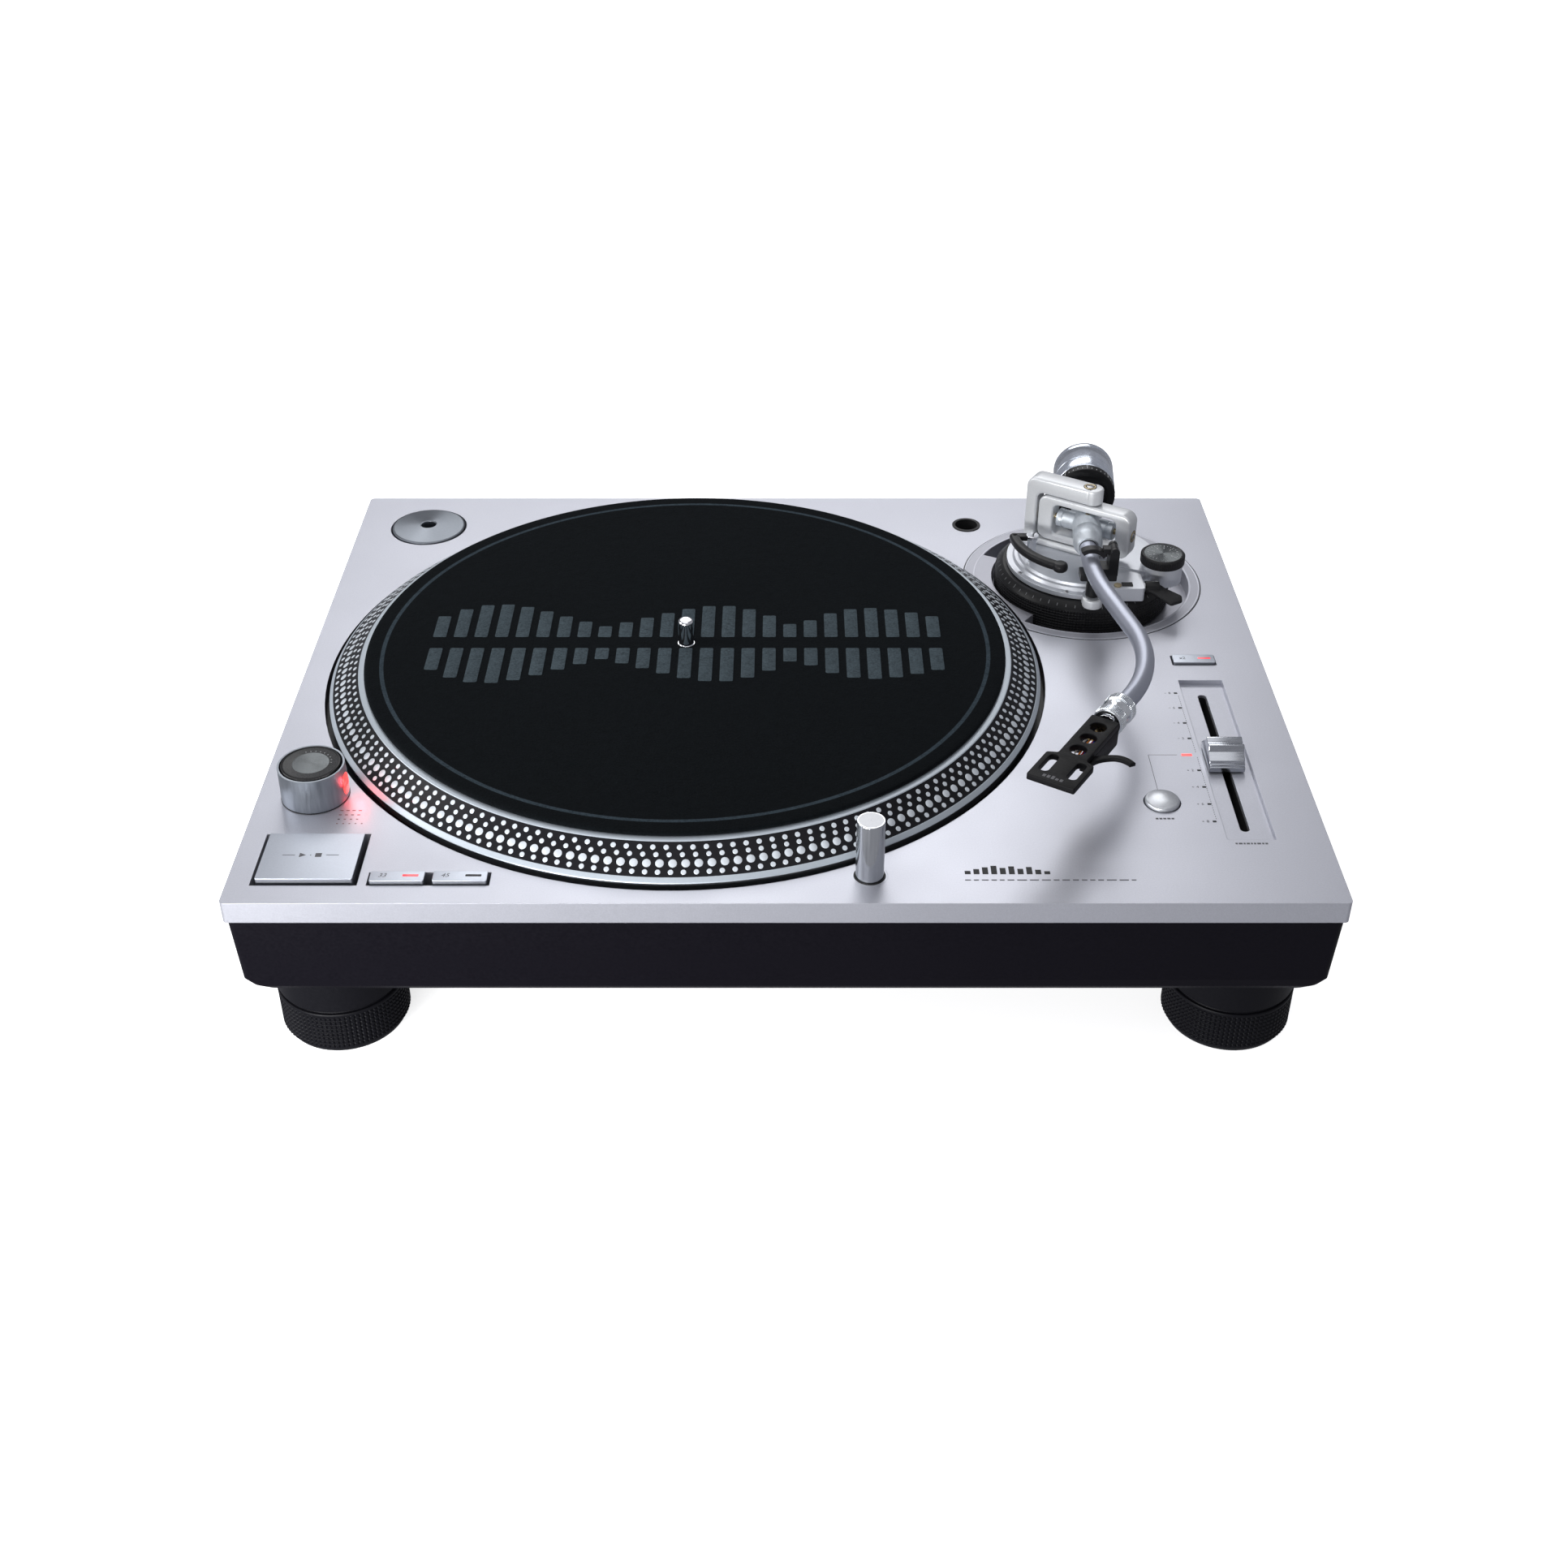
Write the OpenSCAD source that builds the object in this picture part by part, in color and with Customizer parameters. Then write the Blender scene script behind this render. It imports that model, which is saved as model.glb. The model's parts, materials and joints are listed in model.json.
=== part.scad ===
/* [Plinth] */
// Width of the plinth, left to right
plinth_w = 453; // [430:1:480]
// Depth of the plinth, front to back
plinth_d = 353; // [340:1:370]
// Height of the deck's top face above the ground
deck_h = 98; // [94:1:104]
// Thickness of the metal deck
deck_t = 10; // [9:0.5:11]
// Height of the dark lower case
case_h = 39.4; // [37:0.2:41]
// Wall and floor thickness of the lower case
case_wall = 4; // [3:0.5:5]

/* [Feet] */
// Radius of a foot
foot_r = 28; // [26:0.1:28]
// Distance of a foot's centre from the middle, along the width
foot_x = 195.5; // [185:0.5:196]
// Distance of a foot's centre from the middle, along the depth
foot_y = 131; // [120:1:140]
// Height of the knurled ring on a foot
foot_knurl_h = 20.4; // [16:0.2:24]

/* [Platter] */
// Position of the spindle along the width
spindle_x = -46.5; // [-48:0.5:-44]
// Radius of the spindle
spindle_r = 3.6; // [3.5:0.05:3.7]
// Height of the spindle's tip above the deck
spindle_tip = 27.3; // [24:0.1:30]
// Outer radius of the platter
platter_r = 166; // [164:0.5:166]
// Radius where the sloped strobe band meets the platter's top ring
platter_top_r = 151.6; // [150:0.1:153]
// Height of the platter's top face above the deck
platter_z = 12.5; // [12:0.1:13]
// Radius of the felt slipmat
mat_r = 149; // [147:0.5:150]
// Thickness of the felt slipmat
mat_t = 2.1; // [1.5:0.1:2.5]

/* [Tonearm] */
// Position of the arm's pivot along the width
pivot_x = 150.5; // [150:0.1:151]
// Position of the arm's pivot along the depth
pivot_y = 86.5; // [86:0.1:87]
// Height of the arm tube's axis above the deck
arm_z = 31.5; // [31:0.1:32]
// Radius of the arm tube
tube_r = 4.2; // [4:0.1:4.3]
// Heading of the straight part of the tube, from -Y towards +X, degrees
arm_heading = -5.5; // [-6:0.5:-5]
// Heading of the headshell, from -Y towards +X, degrees
shell_heading = -32; // [-33:0.5:-31]
// Length of the headshell
shell_len = 55; // [52:1:56]
// Width of the headshell's front
shell_w = 20.2; // [18:0.2:22]
// Radius of the counterweight
weight_r = 15.4; // [14:0.1:16]
// Length of the counterweight
weight_len = 26; // [22:1:28]

/* [Controls] */
// Radius of the power knob's housing
knob_r = 14.5; // [13:0.1:15]
// Height of the power knob above the deck
knob_h = 17; // [16:0.5:18]
// Height of the pop-up target light above the deck
light_h = 28; // [24:1:30]
// Position of the pitch fader along the width
fader_x = 193.5; // [193:0.1:194]
// Position of the pitch fader's middle along the depth
fader_y = -72.5; // [-73:0.1:-72]
// Half of the pitch fader's travel
fader_travel = 50; // [44:1:50]

/* [Hidden] */

$fn = 72;
run_gap = 0.05;     // radial clearance of a running fit
free_gap = 0.3;     // clearance between pieces that only pass each other
deck_bottom = deck_h - deck_t;
case_bottom = deck_bottom - case_h;
case_floor = case_bottom + case_wall;

silver = [0.78, 0.79, 0.82];
bright = [0.86, 0.87, 0.90];
charcoal = [0.13, 0.13, 0.16];
black = [0.07, 0.07, 0.08];
red = [0.95, 0.20, 0.15];
green = [0.10, 0.35, 0.22];

// ---------- helpers ----------

// Rounded rectangle, centred, made of squares and circles
module rounded(w, d, r) {
    square([w - 2 * r, d], center = true);
    square([w, d - 2 * r], center = true);
    for (x = [-1, 1], y = [-1, 1]) translate([x * (w / 2 - r), y * (d / 2 - r)]) circle(r);
}

// Box between two corners
module span(low, high) {
    translate(low) cube(high - low);
}

// Box between two corners with its upright edges rounded
module soft_span(low, high, r) {
    translate([(low[0] + high[0]) / 2, (low[1] + high[1]) / 2, low[2]])
        linear_extrude(high[2] - low[2]) rounded(high[0] - low[0], high[1] - low[1], r);
}

// Upright tube
module tube(r_out, r_in, z0, z1) {
    translate([0, 0, z0]) difference() {
        cylinder(r = r_out, h = z1 - z0);
        translate([0, 0, -1]) cylinder(r = r_in, h = z1 - z0 + 2);
    }
}

// Upright rod
module rod(r, z0, z1) {
    translate([0, 0, z0]) cylinder(r = r, h = z1 - z0);
}

// Children placed with z measured from the deck's top face
module on_deck(x = 0, y = 0) {
    translate([x, y, deck_h]) children();
}

module at_spindle() { on_deck(spindle_x, 0) children(); }
module at_pivot() { on_deck(pivot_x, pivot_y) children(); }

// Unit vector of a heading measured from -Y towards +X
function way(h) = [sin(h), -cos(h)];
// Unit vector to the left of a heading
function left_of(h) = [cos(h), sin(h)];

// ---------- plinth ----------

foot_places = [[-foot_x, -foot_y], [foot_x, -foot_y], [-foot_x, foot_y], [foot_x, foot_y]];
screw_places = [for (x = [-212, 0, 212]) for (y = [-80, 80]) [x, y]];
screw_r = 1.9;
well_r = 62;              // motor well under the platter
recess_r = platter_r + 2.3;
recess_depth = 7;
adapter_at = [-190, 143];
adapter_r = 19;
holder_at = [96.5, 145.2];
holder_r = 7.2;
light_at = [34, -158.5];
collar_r = 7.2;
knob_at = [-202, -102];
led_at = [177.5, -71.8];
led_size = [4.6, 1.5];

start_hole = [[-216.8, -165], [-173.3, -130.2]];
speed_hole = [[-169.6, -165], [-119.8, -156.3]];
double_hole = [[183.6, 3.6], [204.6, 12.0]];
reset_at = [161, -107.4];
reset_r = 7.4;
button_gap = 2;           // visible gap around start/stop
key_gap = 1.1;            // visible gap around the small keys

fader_low = [184, -134];
fader_high = [204.5, -9.8];
fader_sink = 2.2;         // depth of the fader's plate below the deck

arm_plate_r = 59.5;
arm_well_r = 54;

module deck_hole(corners, depth) {
    span([corners[0][0], corners[0][1], deck_h - depth], [corners[1][0], corners[1][1], deck_h + 1]);
}

module deck_panel() {
    through = deck_t + 1;
    color(silver) difference() {
        translate([0, 0, deck_bottom]) linear_extrude(deck_t) rounded(plinth_w, plinth_d, 2);
        at_spindle() {
            rod(recess_r, -recess_depth, 1);
            rod(well_r, -through, 1);
            for (a = [0:60:300]) rotate(a) translate([motor_screw_ring, 0, 0])
                rod(motor_screw_r + run_gap, -through, -recess_depth - 0.9);
        }
        on_deck(adapter_at[0], adapter_at[1]) rod(adapter_r + 1, -6.5, 1);
        on_deck(holder_at[0], holder_at[1]) rod(holder_r, -through, 1);
        on_deck(light_at[0], light_at[1]) rod(collar_r, -through, 1);
        on_deck(knob_at[0], knob_at[1]) rod(9, -through, 1);
        on_deck(reset_at[0], reset_at[1]) rod(reset_r + 0.6, -through, 1);
        on_deck(led_at[0], led_at[1])
            translate([0, 0, -2]) linear_extrude(3) square(led_size, center = true);
        deck_hole(start_hole, through);
        deck_hole(speed_hole, through);
        deck_hole(double_hole, through);
        deck_hole([fader_low, fader_high], through);
        at_pivot() {
            rod(arm_plate_r, -3, 1);
            rod(arm_well_r + 1.5, -through, 1);
        }
        for (p = screw_places) translate([p[0], p[1], deck_bottom - 1]) cylinder(r = screw_r, h = 3.2);
    }
}

// One of the lower case's four corners, for a hull: nearly sharp down the walls, round at the bottom
module case_corner(x, y) {
    inset = 1.1;
    draft = 1.4;
    module post(in, r, z) {
        translate([x * (plinth_w / 2 - in - r), y * (plinth_d / 2 - in - r), z])
            cylinder(r = r, h = 0.2, $fn = 32);
    }
    post(inset, 3, deck_bottom - 0.2);
    post(inset + draft, 3, case_bottom + 7);
    post(inset + draft + 0.8, 7, case_bottom + 3);
    post(inset + draft + 3, 9, case_bottom);
}

bay_low = [-42, 158];
bay_high = [62, 174];
bay_z = [55, 83];
boss_r = 5;

module bottom_case() {
    inner = 3.5 + case_wall;
    color(charcoal) difference() {
        hull() for (x = [-1, 1], y = [-1, 1]) case_corner(x, y);
        difference() {
            translate([0, 0, case_floor])
                linear_extrude(case_h) rounded(plinth_w - 2 * inner, plinth_d - 2 * inner, 3);
            for (p = screw_places) translate([p[0], p[1], case_bottom]) cylinder(r = boss_r, h = case_h + 2);
        }
        for (p = screw_places) translate([p[0], p[1], case_bottom - 1]) {
            cylinder(r = screw_r, h = case_h + 3);
            cylinder(r = 3.8, h = 3);
        }
        for (p = foot_places) translate([p[0], p[1], case_bottom - 1]) cylinder(r = 5, h = case_wall + 2);
        span([bay_low[0], plinth_d / 2 - 14, bay_z[0]], [bay_high[0], plinth_d / 2 + 1, bay_z[1]]);
    }
}

module base_screws() {
    color(black) for (p = screw_places) translate([p[0], p[1], case_bottom]) {
        rod(screw_r, 0.8, case_h + 1.8);
        difference() {
            rod(3.6, 0.2, 2);
            translate([0, 0, 0]) linear_extrude(1) for (a = [0, 90]) rotate(a) square([4.4, 0.8], center = true);
        }
    }
}

// ---------- feet ----------

stud_r = 5;
stud_low = 26;

module foot_studs() {
    color(bright) for (p = foot_places) translate([p[0], p[1], 0]) {
        rod(stud_r, stud_low, case_floor);
        rod(11, case_floor, case_floor + 3);
    }
}

module foot() {
    top = case_bottom - 0.5;
    groove = 2 + foot_knurl_h;
    color(black) difference() {
        union() {
            rod(26.4, 0, 2);
            rod(foot_r, 2, groove);
            rod(foot_r - 1.2, groove, groove + 1.6);
            rod(foot_r, groove + 1.6, top);
        }
        translate([0, 0, stud_low - 1]) cylinder(r = stud_r + run_gap, h = case_h);
    }
}

module foot_front_left() { translate(concat(foot_places[0], 0)) foot(); }
module foot_front_right() { translate(concat(foot_places[1], 0)) foot(); }
module foot_rear_left() { translate(concat(foot_places[2], 0)) foot(); }
module foot_rear_right() { translate(concat(foot_places[3], 0)) foot(); }

// ---------- platter and motor ----------

plate_t = 4;               // thickness of the platter's top
hub_r = spindle_r + 0.4;   // the spindle is thicker below the slipmat's top
hub_top = platter_z + mat_t + 0.1;
magnet_r = [48, 58];

module platter() {
    under = platter_z - plate_t;
    color(charcoal) at_spindle() rotate_extrude() polygon([
        [hub_r, platter_z], [platter_top_r, platter_z],
        [platter_r - 1.8, 3.5], [platter_r - 0.8, 3.9], [platter_r, 3.2], [platter_r, 1.2],
        [platter_r - 1.2, 0.6], [platter_r - 1.6, -4], [platter_r - 8, -4], [platter_r - 9, 2],
        [platter_top_r - 5, under], [14, under], [14, under - 4], [hub_r, under - 4]
    ]);
}

module platter_damping() {
    color(black) at_spindle() tube(138, 62, platter_z - plate_t - 3, platter_z - plate_t);
}

module rotor_magnet() {
    color([0.30, 0.30, 0.32]) at_spindle() tube(magnet_r[1], magnet_r[0], -8, platter_z - plate_t);
}

shaft_bottom = -32;

module spindle_shaft() {
    tip = 1.6;
    color(bright) at_spindle() rotate_extrude() {
        translate([0, shaft_bottom]) square([hub_r, hub_top - shaft_bottom]);
        translate([0, hub_top]) square([spindle_r, spindle_tip - tip - hub_top]);
        translate([0, spindle_tip - tip]) square([spindle_r - tip, tip]);
        intersection() {
            translate([spindle_r - tip, spindle_tip - tip]) circle(tip);
            translate([spindle_r - tip, spindle_tip - tip]) square(tip);
        }
    }
}

module slipmat() {
    color(black) at_spindle() tube(mat_r, hub_r + 0.15, platter_z + run_gap, platter_z + mat_t);
}

module bearing_housing() {
    color([0.72, 0.60, 0.32]) at_spindle() difference() {
        union() {
            rod(9, -36, 0);
            rod(20, -15, -12.5);
        }
        rod(hub_r + run_gap, shaft_bottom - 0.1, 1);
    }
}

motor_screw_r = 2;
motor_screw_ring = 70;

module motor_base() {
    color([0.55, 0.56, 0.58]) at_spindle() difference() {
        union() {
            rod(66, -17, -deck_t);
            rod(76, -deck_t - 2, -deck_t);
        }
        rod(64, -15, 0);
        rod(9, -18, 0);
        for (a = [0:60:300]) rotate(a) translate([motor_screw_ring, 0, 0]) rod(motor_screw_r, -18, 0);
    }
}

module stator_board() {
    color(green) at_spindle() tube(60, 20.2, -15, -13.4);
}

// One flat stator coil
module coil() {
    linear_extrude(10) difference() {
        rounded(14, 11, 3);
        rounded(6, 3.4, 1.5);
    }
}

module stator_coils() {
    coils = 9;
    color([0.72, 0.40, 0.18]) at_spindle()
        for (i = [0:coils - 1]) rotate(i * 360 / coils) translate([36, 0, -13.4]) coil();
}

module motor_screws() {
    color(bright) at_spindle() for (a = [0:60:300]) rotate(a) translate([motor_screw_ring, 0, 0]) {
        rod(motor_screw_r, -deck_t - 2, -recess_depth - 1);
        rod(3.4, -deck_t - 4, -deck_t - 2);
    }
}

// ---------- electronics in the case ----------

module main_board() {
    board_z = case_floor + 8;
    color(green) {
        span([20, -150, board_z], [150, -70, board_z + 1.6]);
        for (x = [26, 144], y = [-144, -76]) translate([x, y, case_floor]) cylinder(r = 3, h = 8);
    }
    color(black) {
        span([60, -120, board_z + 1.6], [84, -96, board_z + 4]);
        span([100, -140, board_z + 1.6], [112, -118, board_z + 3.6]);
        for (x = [36:12:132]) translate([x, -84, board_z + 1.6]) cylinder(r = 4, h = 11);
    }
}

module power_transformer() {
    color([0.40, 0.36, 0.32]) {
        span([-190, 80, case_floor], [-138, 120, case_floor + 28]);
        span([-184, 70, case_floor + 4], [-144, 130, case_floor + 24]);
    }
}

// ---------- left controls ----------

module adapter_45() {
    color(bright) on_deck(adapter_at[0], adapter_at[1]) rotate_extrude() polygon([
        [spindle_r + 0.15, -6.4], [adapter_r, -6.4], [adapter_r, 0.4],
        [adapter_r - 1, 1.2], [10, 2.4], [6, 2.0], [spindle_r + 0.15, 1.6]
    ]);
}

knob_seat = knob_h - 5.8;
window_turn = 26;           // heading of the strobe window round the housing

module window_block(r) {
    intersection() {
        rod(r, 4.6, 11);
        rotate(window_turn) span([11.5, -5, 4], [16, 5, 12]);
    }
}

module strobe_housing() {
    color(silver) on_deck(knob_at[0], knob_at[1]) difference() {
        union() {
            translate([0, 0, 0]) cylinder(r1 = knob_r, r2 = knob_r - 0.3, h = knob_h - 0.8);
            rod(8.8, -deck_t - 2, 0);
        }
        rod(knob_r - 1.1, knob_seat - 0.3, knob_h + 1);
        rod(3 + run_gap, -deck_t - 3, knob_h);
        window_block(knob_r + 1);
    }
}

module strobe_window() {
    color(red) on_deck(knob_at[0], knob_at[1]) window_block(knob_r - 0.4);
}

module power_knob() {
    color(black) on_deck(knob_at[0], knob_at[1]) {
        rod(knob_r - 1.5, knob_seat, knob_h);
        rod(3, -deck_t - 8, knob_seat);
    }
}

module power_switch() {
    color([0.25, 0.25, 0.28]) on_deck(knob_at[0], knob_at[1]) difference() {
        soft_span([-12, -12, -deck_t - 12], [12, 12, -deck_t - 2], 2);
        rod(3 + run_gap, -deck_t - 9, -deck_t);
    }
}

// Button cap with bevelled edge and a stem below it
module key(low, high, rise, stem_r) {
    bevel = 0.5;
    soft_span([low[0], low[1], -6.5], [high[0], high[1], rise - bevel], 0.6);
    soft_span([low[0] + bevel, low[1] + bevel, -6.5], [high[0] - bevel, high[1] - bevel, rise], 0.6);
    translate([(low[0] + high[0]) / 2, (low[1] + high[1]) / 2, 0]) rod(stem_r, -13.5, -6.5);
}

function grown(corners, gap) = [
    [corners[0][0] - gap, corners[0][1] - gap], [corners[1][0] + gap, corners[1][1] + gap]
];
start_key = grown(start_hole, -button_gap);
speed_row = grown(speed_hole, -key_gap);
speed_split = (speed_row[0][0] + speed_row[1][0]) / 2;
key_33 = [speed_row[0], [speed_split - 1.7, speed_row[1][1]]];
key_45 = [[speed_split + 1.7, speed_row[0][1]], speed_row[1]];
double_key = grown(double_hole, -0.6);
start_stem = 4;
key_stem = 2;
function middle(k) = (k[0] + k[1]) / 2;

module start_stop_button() { color(silver) on_deck() key(start_key[0], start_key[1], 1.9, start_stem); }
module speed_button_33() { color(silver) on_deck() key(key_33[0], key_33[1], 1.6, key_stem); }
module speed_button_45() { color(silver) on_deck() key(key_45[0], key_45[1], 1.6, key_stem); }
module double_speed_button() { color(silver) on_deck() key(double_key[0], double_key[1], 1.2, key_stem); }

module reset_button() {
    color(bright) on_deck(reset_at[0], reset_at[1]) rotate_extrude() polygon([
        [0, -13.5], [key_stem, -13.5], [key_stem, -6.5], [reset_r, -6.5], [reset_r, 1.4],
        [reset_r - 0.6, 1.9], [reset_r - 3, 2.3], [0, 2.5]
    ]);
}

// Dark tray that closes the deck's openings from below, with guide bores
module tray(low, high, guides) {
    difference() {
        on_deck() span([low[0], low[1], -deck_t - 2], [high[0], high[1], -deck_t]);
        for (g = guides) on_deck(g[0], g[1]) rod(g[2] + run_gap, -deck_t - 3, 0);
    }
}

module button_tray() {
    a = middle(start_key);
    b = middle(key_33);
    c = middle(key_45);
    color(black) tray([-218, -166.8], [-115, -128],
        [[a[0], a[1], start_stem], [b[0], b[1], key_stem], [c[0], c[1], key_stem]]);
}

module right_button_tray() {
    d = middle(double_key);
    color(black) {
        tray([181, 1], [207, 15], [[d[0], d[1], key_stem]]);
        tray([151, -117.4], [171, -97.4], [[reset_at[0], reset_at[1], key_stem]]);
    }
}

// ---------- pitch fader ----------

slot_w = 4;
stem_half = 2.6;
slot_half = fader_travel + stem_half + 0.6;

module fader_slot(w, z0, z1) {
    translate([fader_x, fader_y, deck_h + z0]) linear_extrude(z1 - z0) rounded(w, 2 * slot_half, w / 2 - 0.01);
}

module pitch_plate() {
    color(silver) difference() {
        on_deck() span([fader_low[0], fader_low[1], -fader_sink - 1.5], [fader_high[0], fader_high[1], -fader_sink]);
        fader_slot(slot_w, -deck_t, 1);
    }
}

module pitch_fader_body() {
    color([0.25, 0.25, 0.28]) difference() {
        on_deck() span([fader_x - 8, fader_low[1] + 2, -17], [fader_x + 8, fader_high[1] - 2, -fader_sink - 1.5]);
        fader_slot(3.4, -13, 0);
    }
}

module pitch_fader_cap() {
    half_w = 7.8;
    half_l = 10.5;
    color(bright) on_deck(fader_x, fader_y) {
        translate([-half_w, 0, 0]) rotate([90, 0, 90]) linear_extrude(2 * half_w) polygon([
            [-half_l, -1.4], [-half_l, 2.2], [-7.6, 3.6], [-3.4, 6.6], [-1.2, 8.0], [1.2, 8.0],
            [3.4, 6.6], [7.6, 3.6], [half_l, 2.2], [half_l, -1.4]
        ]);
        span([-1.2, -stem_half, -12], [1.2, stem_half, -1.4]);
    }
}

module pitch_led() {
    color(red) on_deck(led_at[0], led_at[1])
        translate([0, 0, -2]) linear_extrude(2.1) square(led_size, center = true);
}

// ---------- target light and headshell holder ----------

light_r = 5.8;

module target_light() {
    color(silver) on_deck(light_at[0], light_at[1]) difference() {
        union() {
            rod(light_r, -20, light_h - 1);
            translate([0, 0, light_h - 1]) cylinder(r1 = light_r, r2 = light_r - 1, h = 1);
        }
        translate([0, light_r, light_h - 7]) rotate([90, 0, 0]) cylinder(r = 2.2, h = 3);
    }
}

module target_light_collar() {
    color(black) on_deck(light_at[0], light_at[1]) {
        tube(collar_r, light_r + run_gap, -22, 0.5);
    }
}

module headshell_holder() {
    color(black) on_deck(holder_at[0], holder_at[1]) difference() {
        union() {
            rod(holder_r, -24, 0.3);
            rod(10, -deck_t - 2, -deck_t);
        }
        rod(5.8, -22, 1);
    }
}

// ---------- tonearm base ----------

ring_r = 44;
ring_top = 9.5;
well_floor = -8;
post_r = 17;                // fixed post that the arm base slides on
skate_at = [36.5, -16.5];   // anti-skate boss, from the pivot
rest_at = [-1.0, -41];      // arm rest post, from the pivot
lever_y = -32.5;            // cue lever's axis, from the pivot
lever_z = 13.6;
stem_at = [-27, -2];        // lift platform's stem, from the pivot
stem_r = 2.5;
base_top = 15.5;

// Sector of the arm plate that stays level with the deck, beside the platter
module left_lobe(h) {
    steps = 12;
    linear_extrude(h) intersection() {
        difference() {
            circle(arm_well_r + 1);
            circle(ring_r + 1.6);
        }
        polygon(concat([[0, 0]], [for (i = [0:steps]) 90 * [cos(152 + i * 80 / steps), sin(152 + i * 80 / steps)]]));
    }
}

module arm_plate() {
    top = 0.3;
    floor_t = 1.5;
    color(silver) difference() {
        at_pivot() {
            tube(arm_plate_r, arm_well_r - 0.1, -3, top);
            tube(arm_well_r + 1.5, arm_well_r - 0.1, well_floor - floor_t, top);
            tube(arm_well_r, post_r - 3, well_floor - floor_t, well_floor);
            tube(post_r, post_r - 3, well_floor - floor_t, 6);
            translate([0, 0, well_floor - 0.5]) left_lobe(top - well_floor + 0.5);
        }
        at_spindle() rod(recess_r, -recess_depth, top + 1);
    }
}

module height_ring() {
    color(black) at_pivot() difference() {
        union() {
            rod(ring_r, -7, 6);
            translate([0, 0, 6]) cylinder(r1 = ring_r, r2 = ring_r - 3.6, h = ring_top - 6);
        }
        rod(36.3, -8, ring_top + 1);
    }
}

module arm_base() {
    color(silver) at_pivot() difference() {
        union() {
            rod(36, -6.5, 10);
            rod(38.5, 10, 12.4);
            translate([0, 0, 12.3]) cylinder(r1 = 35.6, r2 = 34.8, h = 1.8);
            translate([0, 0, 14]) cylinder(r1 = 33.2, r2 = 32.6, h = base_top - 14);
            rotate(atan2(skate_at[1], skate_at[0])) span([10, -8.4, 10.1], [40, 8.4, 16.4]);
            translate(skate_at) rod(10.2, 9.9, 20);
            soft_span([7.5, -39.5, 9.8], [25, -24, 16.8], 1.5);
            translate(rest_at) rod(5, 10.4, 14.4);
        }
        rod(post_r + free_gap, -7, 8);
        translate(stem_at) rod(stem_r + run_gap, -7, 20);
        translate(skate_at) rod(3 + run_gap, 13, 21);
        rotate(arm_heading + 27) rotate_extrude(angle = 81) translate([dial_y[0] - 2, 14.3]) square([12, 4]);
        translate([16, lever_y, lever_z]) rotate([0, 90, 0]) cylinder(r = 1.6 + run_gap, h = 12);
    }
}

module anti_skate_knob() {
    color(black) at_pivot() translate(skate_at) {
        rod(10.6, 20.3, 24.2);
        rod(3, 13.2, 20.3);
    }
}

lift_r = [34, 38];
lift_sweep = [184, 244];

module lift_platform() {
    color(black) at_pivot() {
        translate([0, 0, 23.8]) rotate(lift_sweep[0]) rotate_extrude(angle = lift_sweep[1] - lift_sweep[0])
            translate([lift_r[0], 0]) square([lift_r[1] - lift_r[0], 3]);
        rotate(lift_sweep[1] - 1) translate([36, 0, 0]) rotate(35) rod(3.2, 22.8, 27);
        span([stem_at[0] - 9, stem_at[1] - 2.1, 24], [stem_at[0], stem_at[1] + 2.1, 26.6]);
        translate(stem_at) rotate(35) rod(stem_r, -4, 26.9);
    }
}

module cue_lever() {
    color(black) at_pivot() translate([0, lever_y, lever_z]) {
        translate([16, 0, 0]) rotate([0, 90, 0]) cylinder(r = 1.6, h = 12);
        translate([26, 0, 0]) rotate([0, 90, 0]) cylinder(r = 3.2, h = 7);
        rotate([14, 0, 0]) hull() {
            translate([28, -1, -1]) cylinder(r = 1.2, h = 2.2, $fn = 20);
            translate([31.2, -0.6, -1]) cylinder(r = 1.2, h = 2.2, $fn = 20);
            translate([33.5, -14.5, -0.6]) cylinder(r = 1.2, h = 1.8, $fn = 20);
            translate([38.2, -13, -0.6]) cylinder(r = 1.2, h = 1.8, $fn = 20);
        }
    }
}

// ---------- arm rest ----------

wall_x = [5.1, 9.6];            // upright wall right of the tube, from the pivot
clip_axis = [7.4, 39.2];        // clip's hinge: x from the pivot, z from the deck
rest_depth = [-45, -36];
tube_at_rest = [-3.0, arm_z];

module along_y(y0, y1, r) {
    translate([0, y1, 0]) rotate([90, 0, 0]) cylinder(r = r, h = y1 - y0);
}

module arm_rest() {
    color(black) at_pivot() difference() {
        union() {
            translate(rest_at) rod(3.4, 14.45, 25);
            soft_span([-8, rest_depth[0], 24], [wall_x[1], rest_depth[1], 27], 1);
            span([wall_x[0], rest_depth[0], 27], [wall_x[1], rest_depth[1], clip_axis[1]]);
            translate([clip_axis[0], 0, clip_axis[1]]) along_y(rest_depth[0], rest_depth[1], 2.2);
            span([1.4, rest_depth[0], 26.5], [wall_x[0] + 1, rest_depth[1], 30.5]);
        }
        translate([tube_at_rest[0], 0, tube_at_rest[1]]) along_y(-60, -20, tube_r + 0.35);
        translate([clip_axis[0], 0, clip_axis[1]]) {
            span([-8, -43, -3.4], [8, -38, 4]);
            along_y(-43.05, -37.95, 3.1);
        }
    }
    color(bright) at_pivot() translate([clip_axis[0], 0, clip_axis[1]]) along_y(rest_depth[0], rest_depth[1], 0.9);
}

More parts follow.
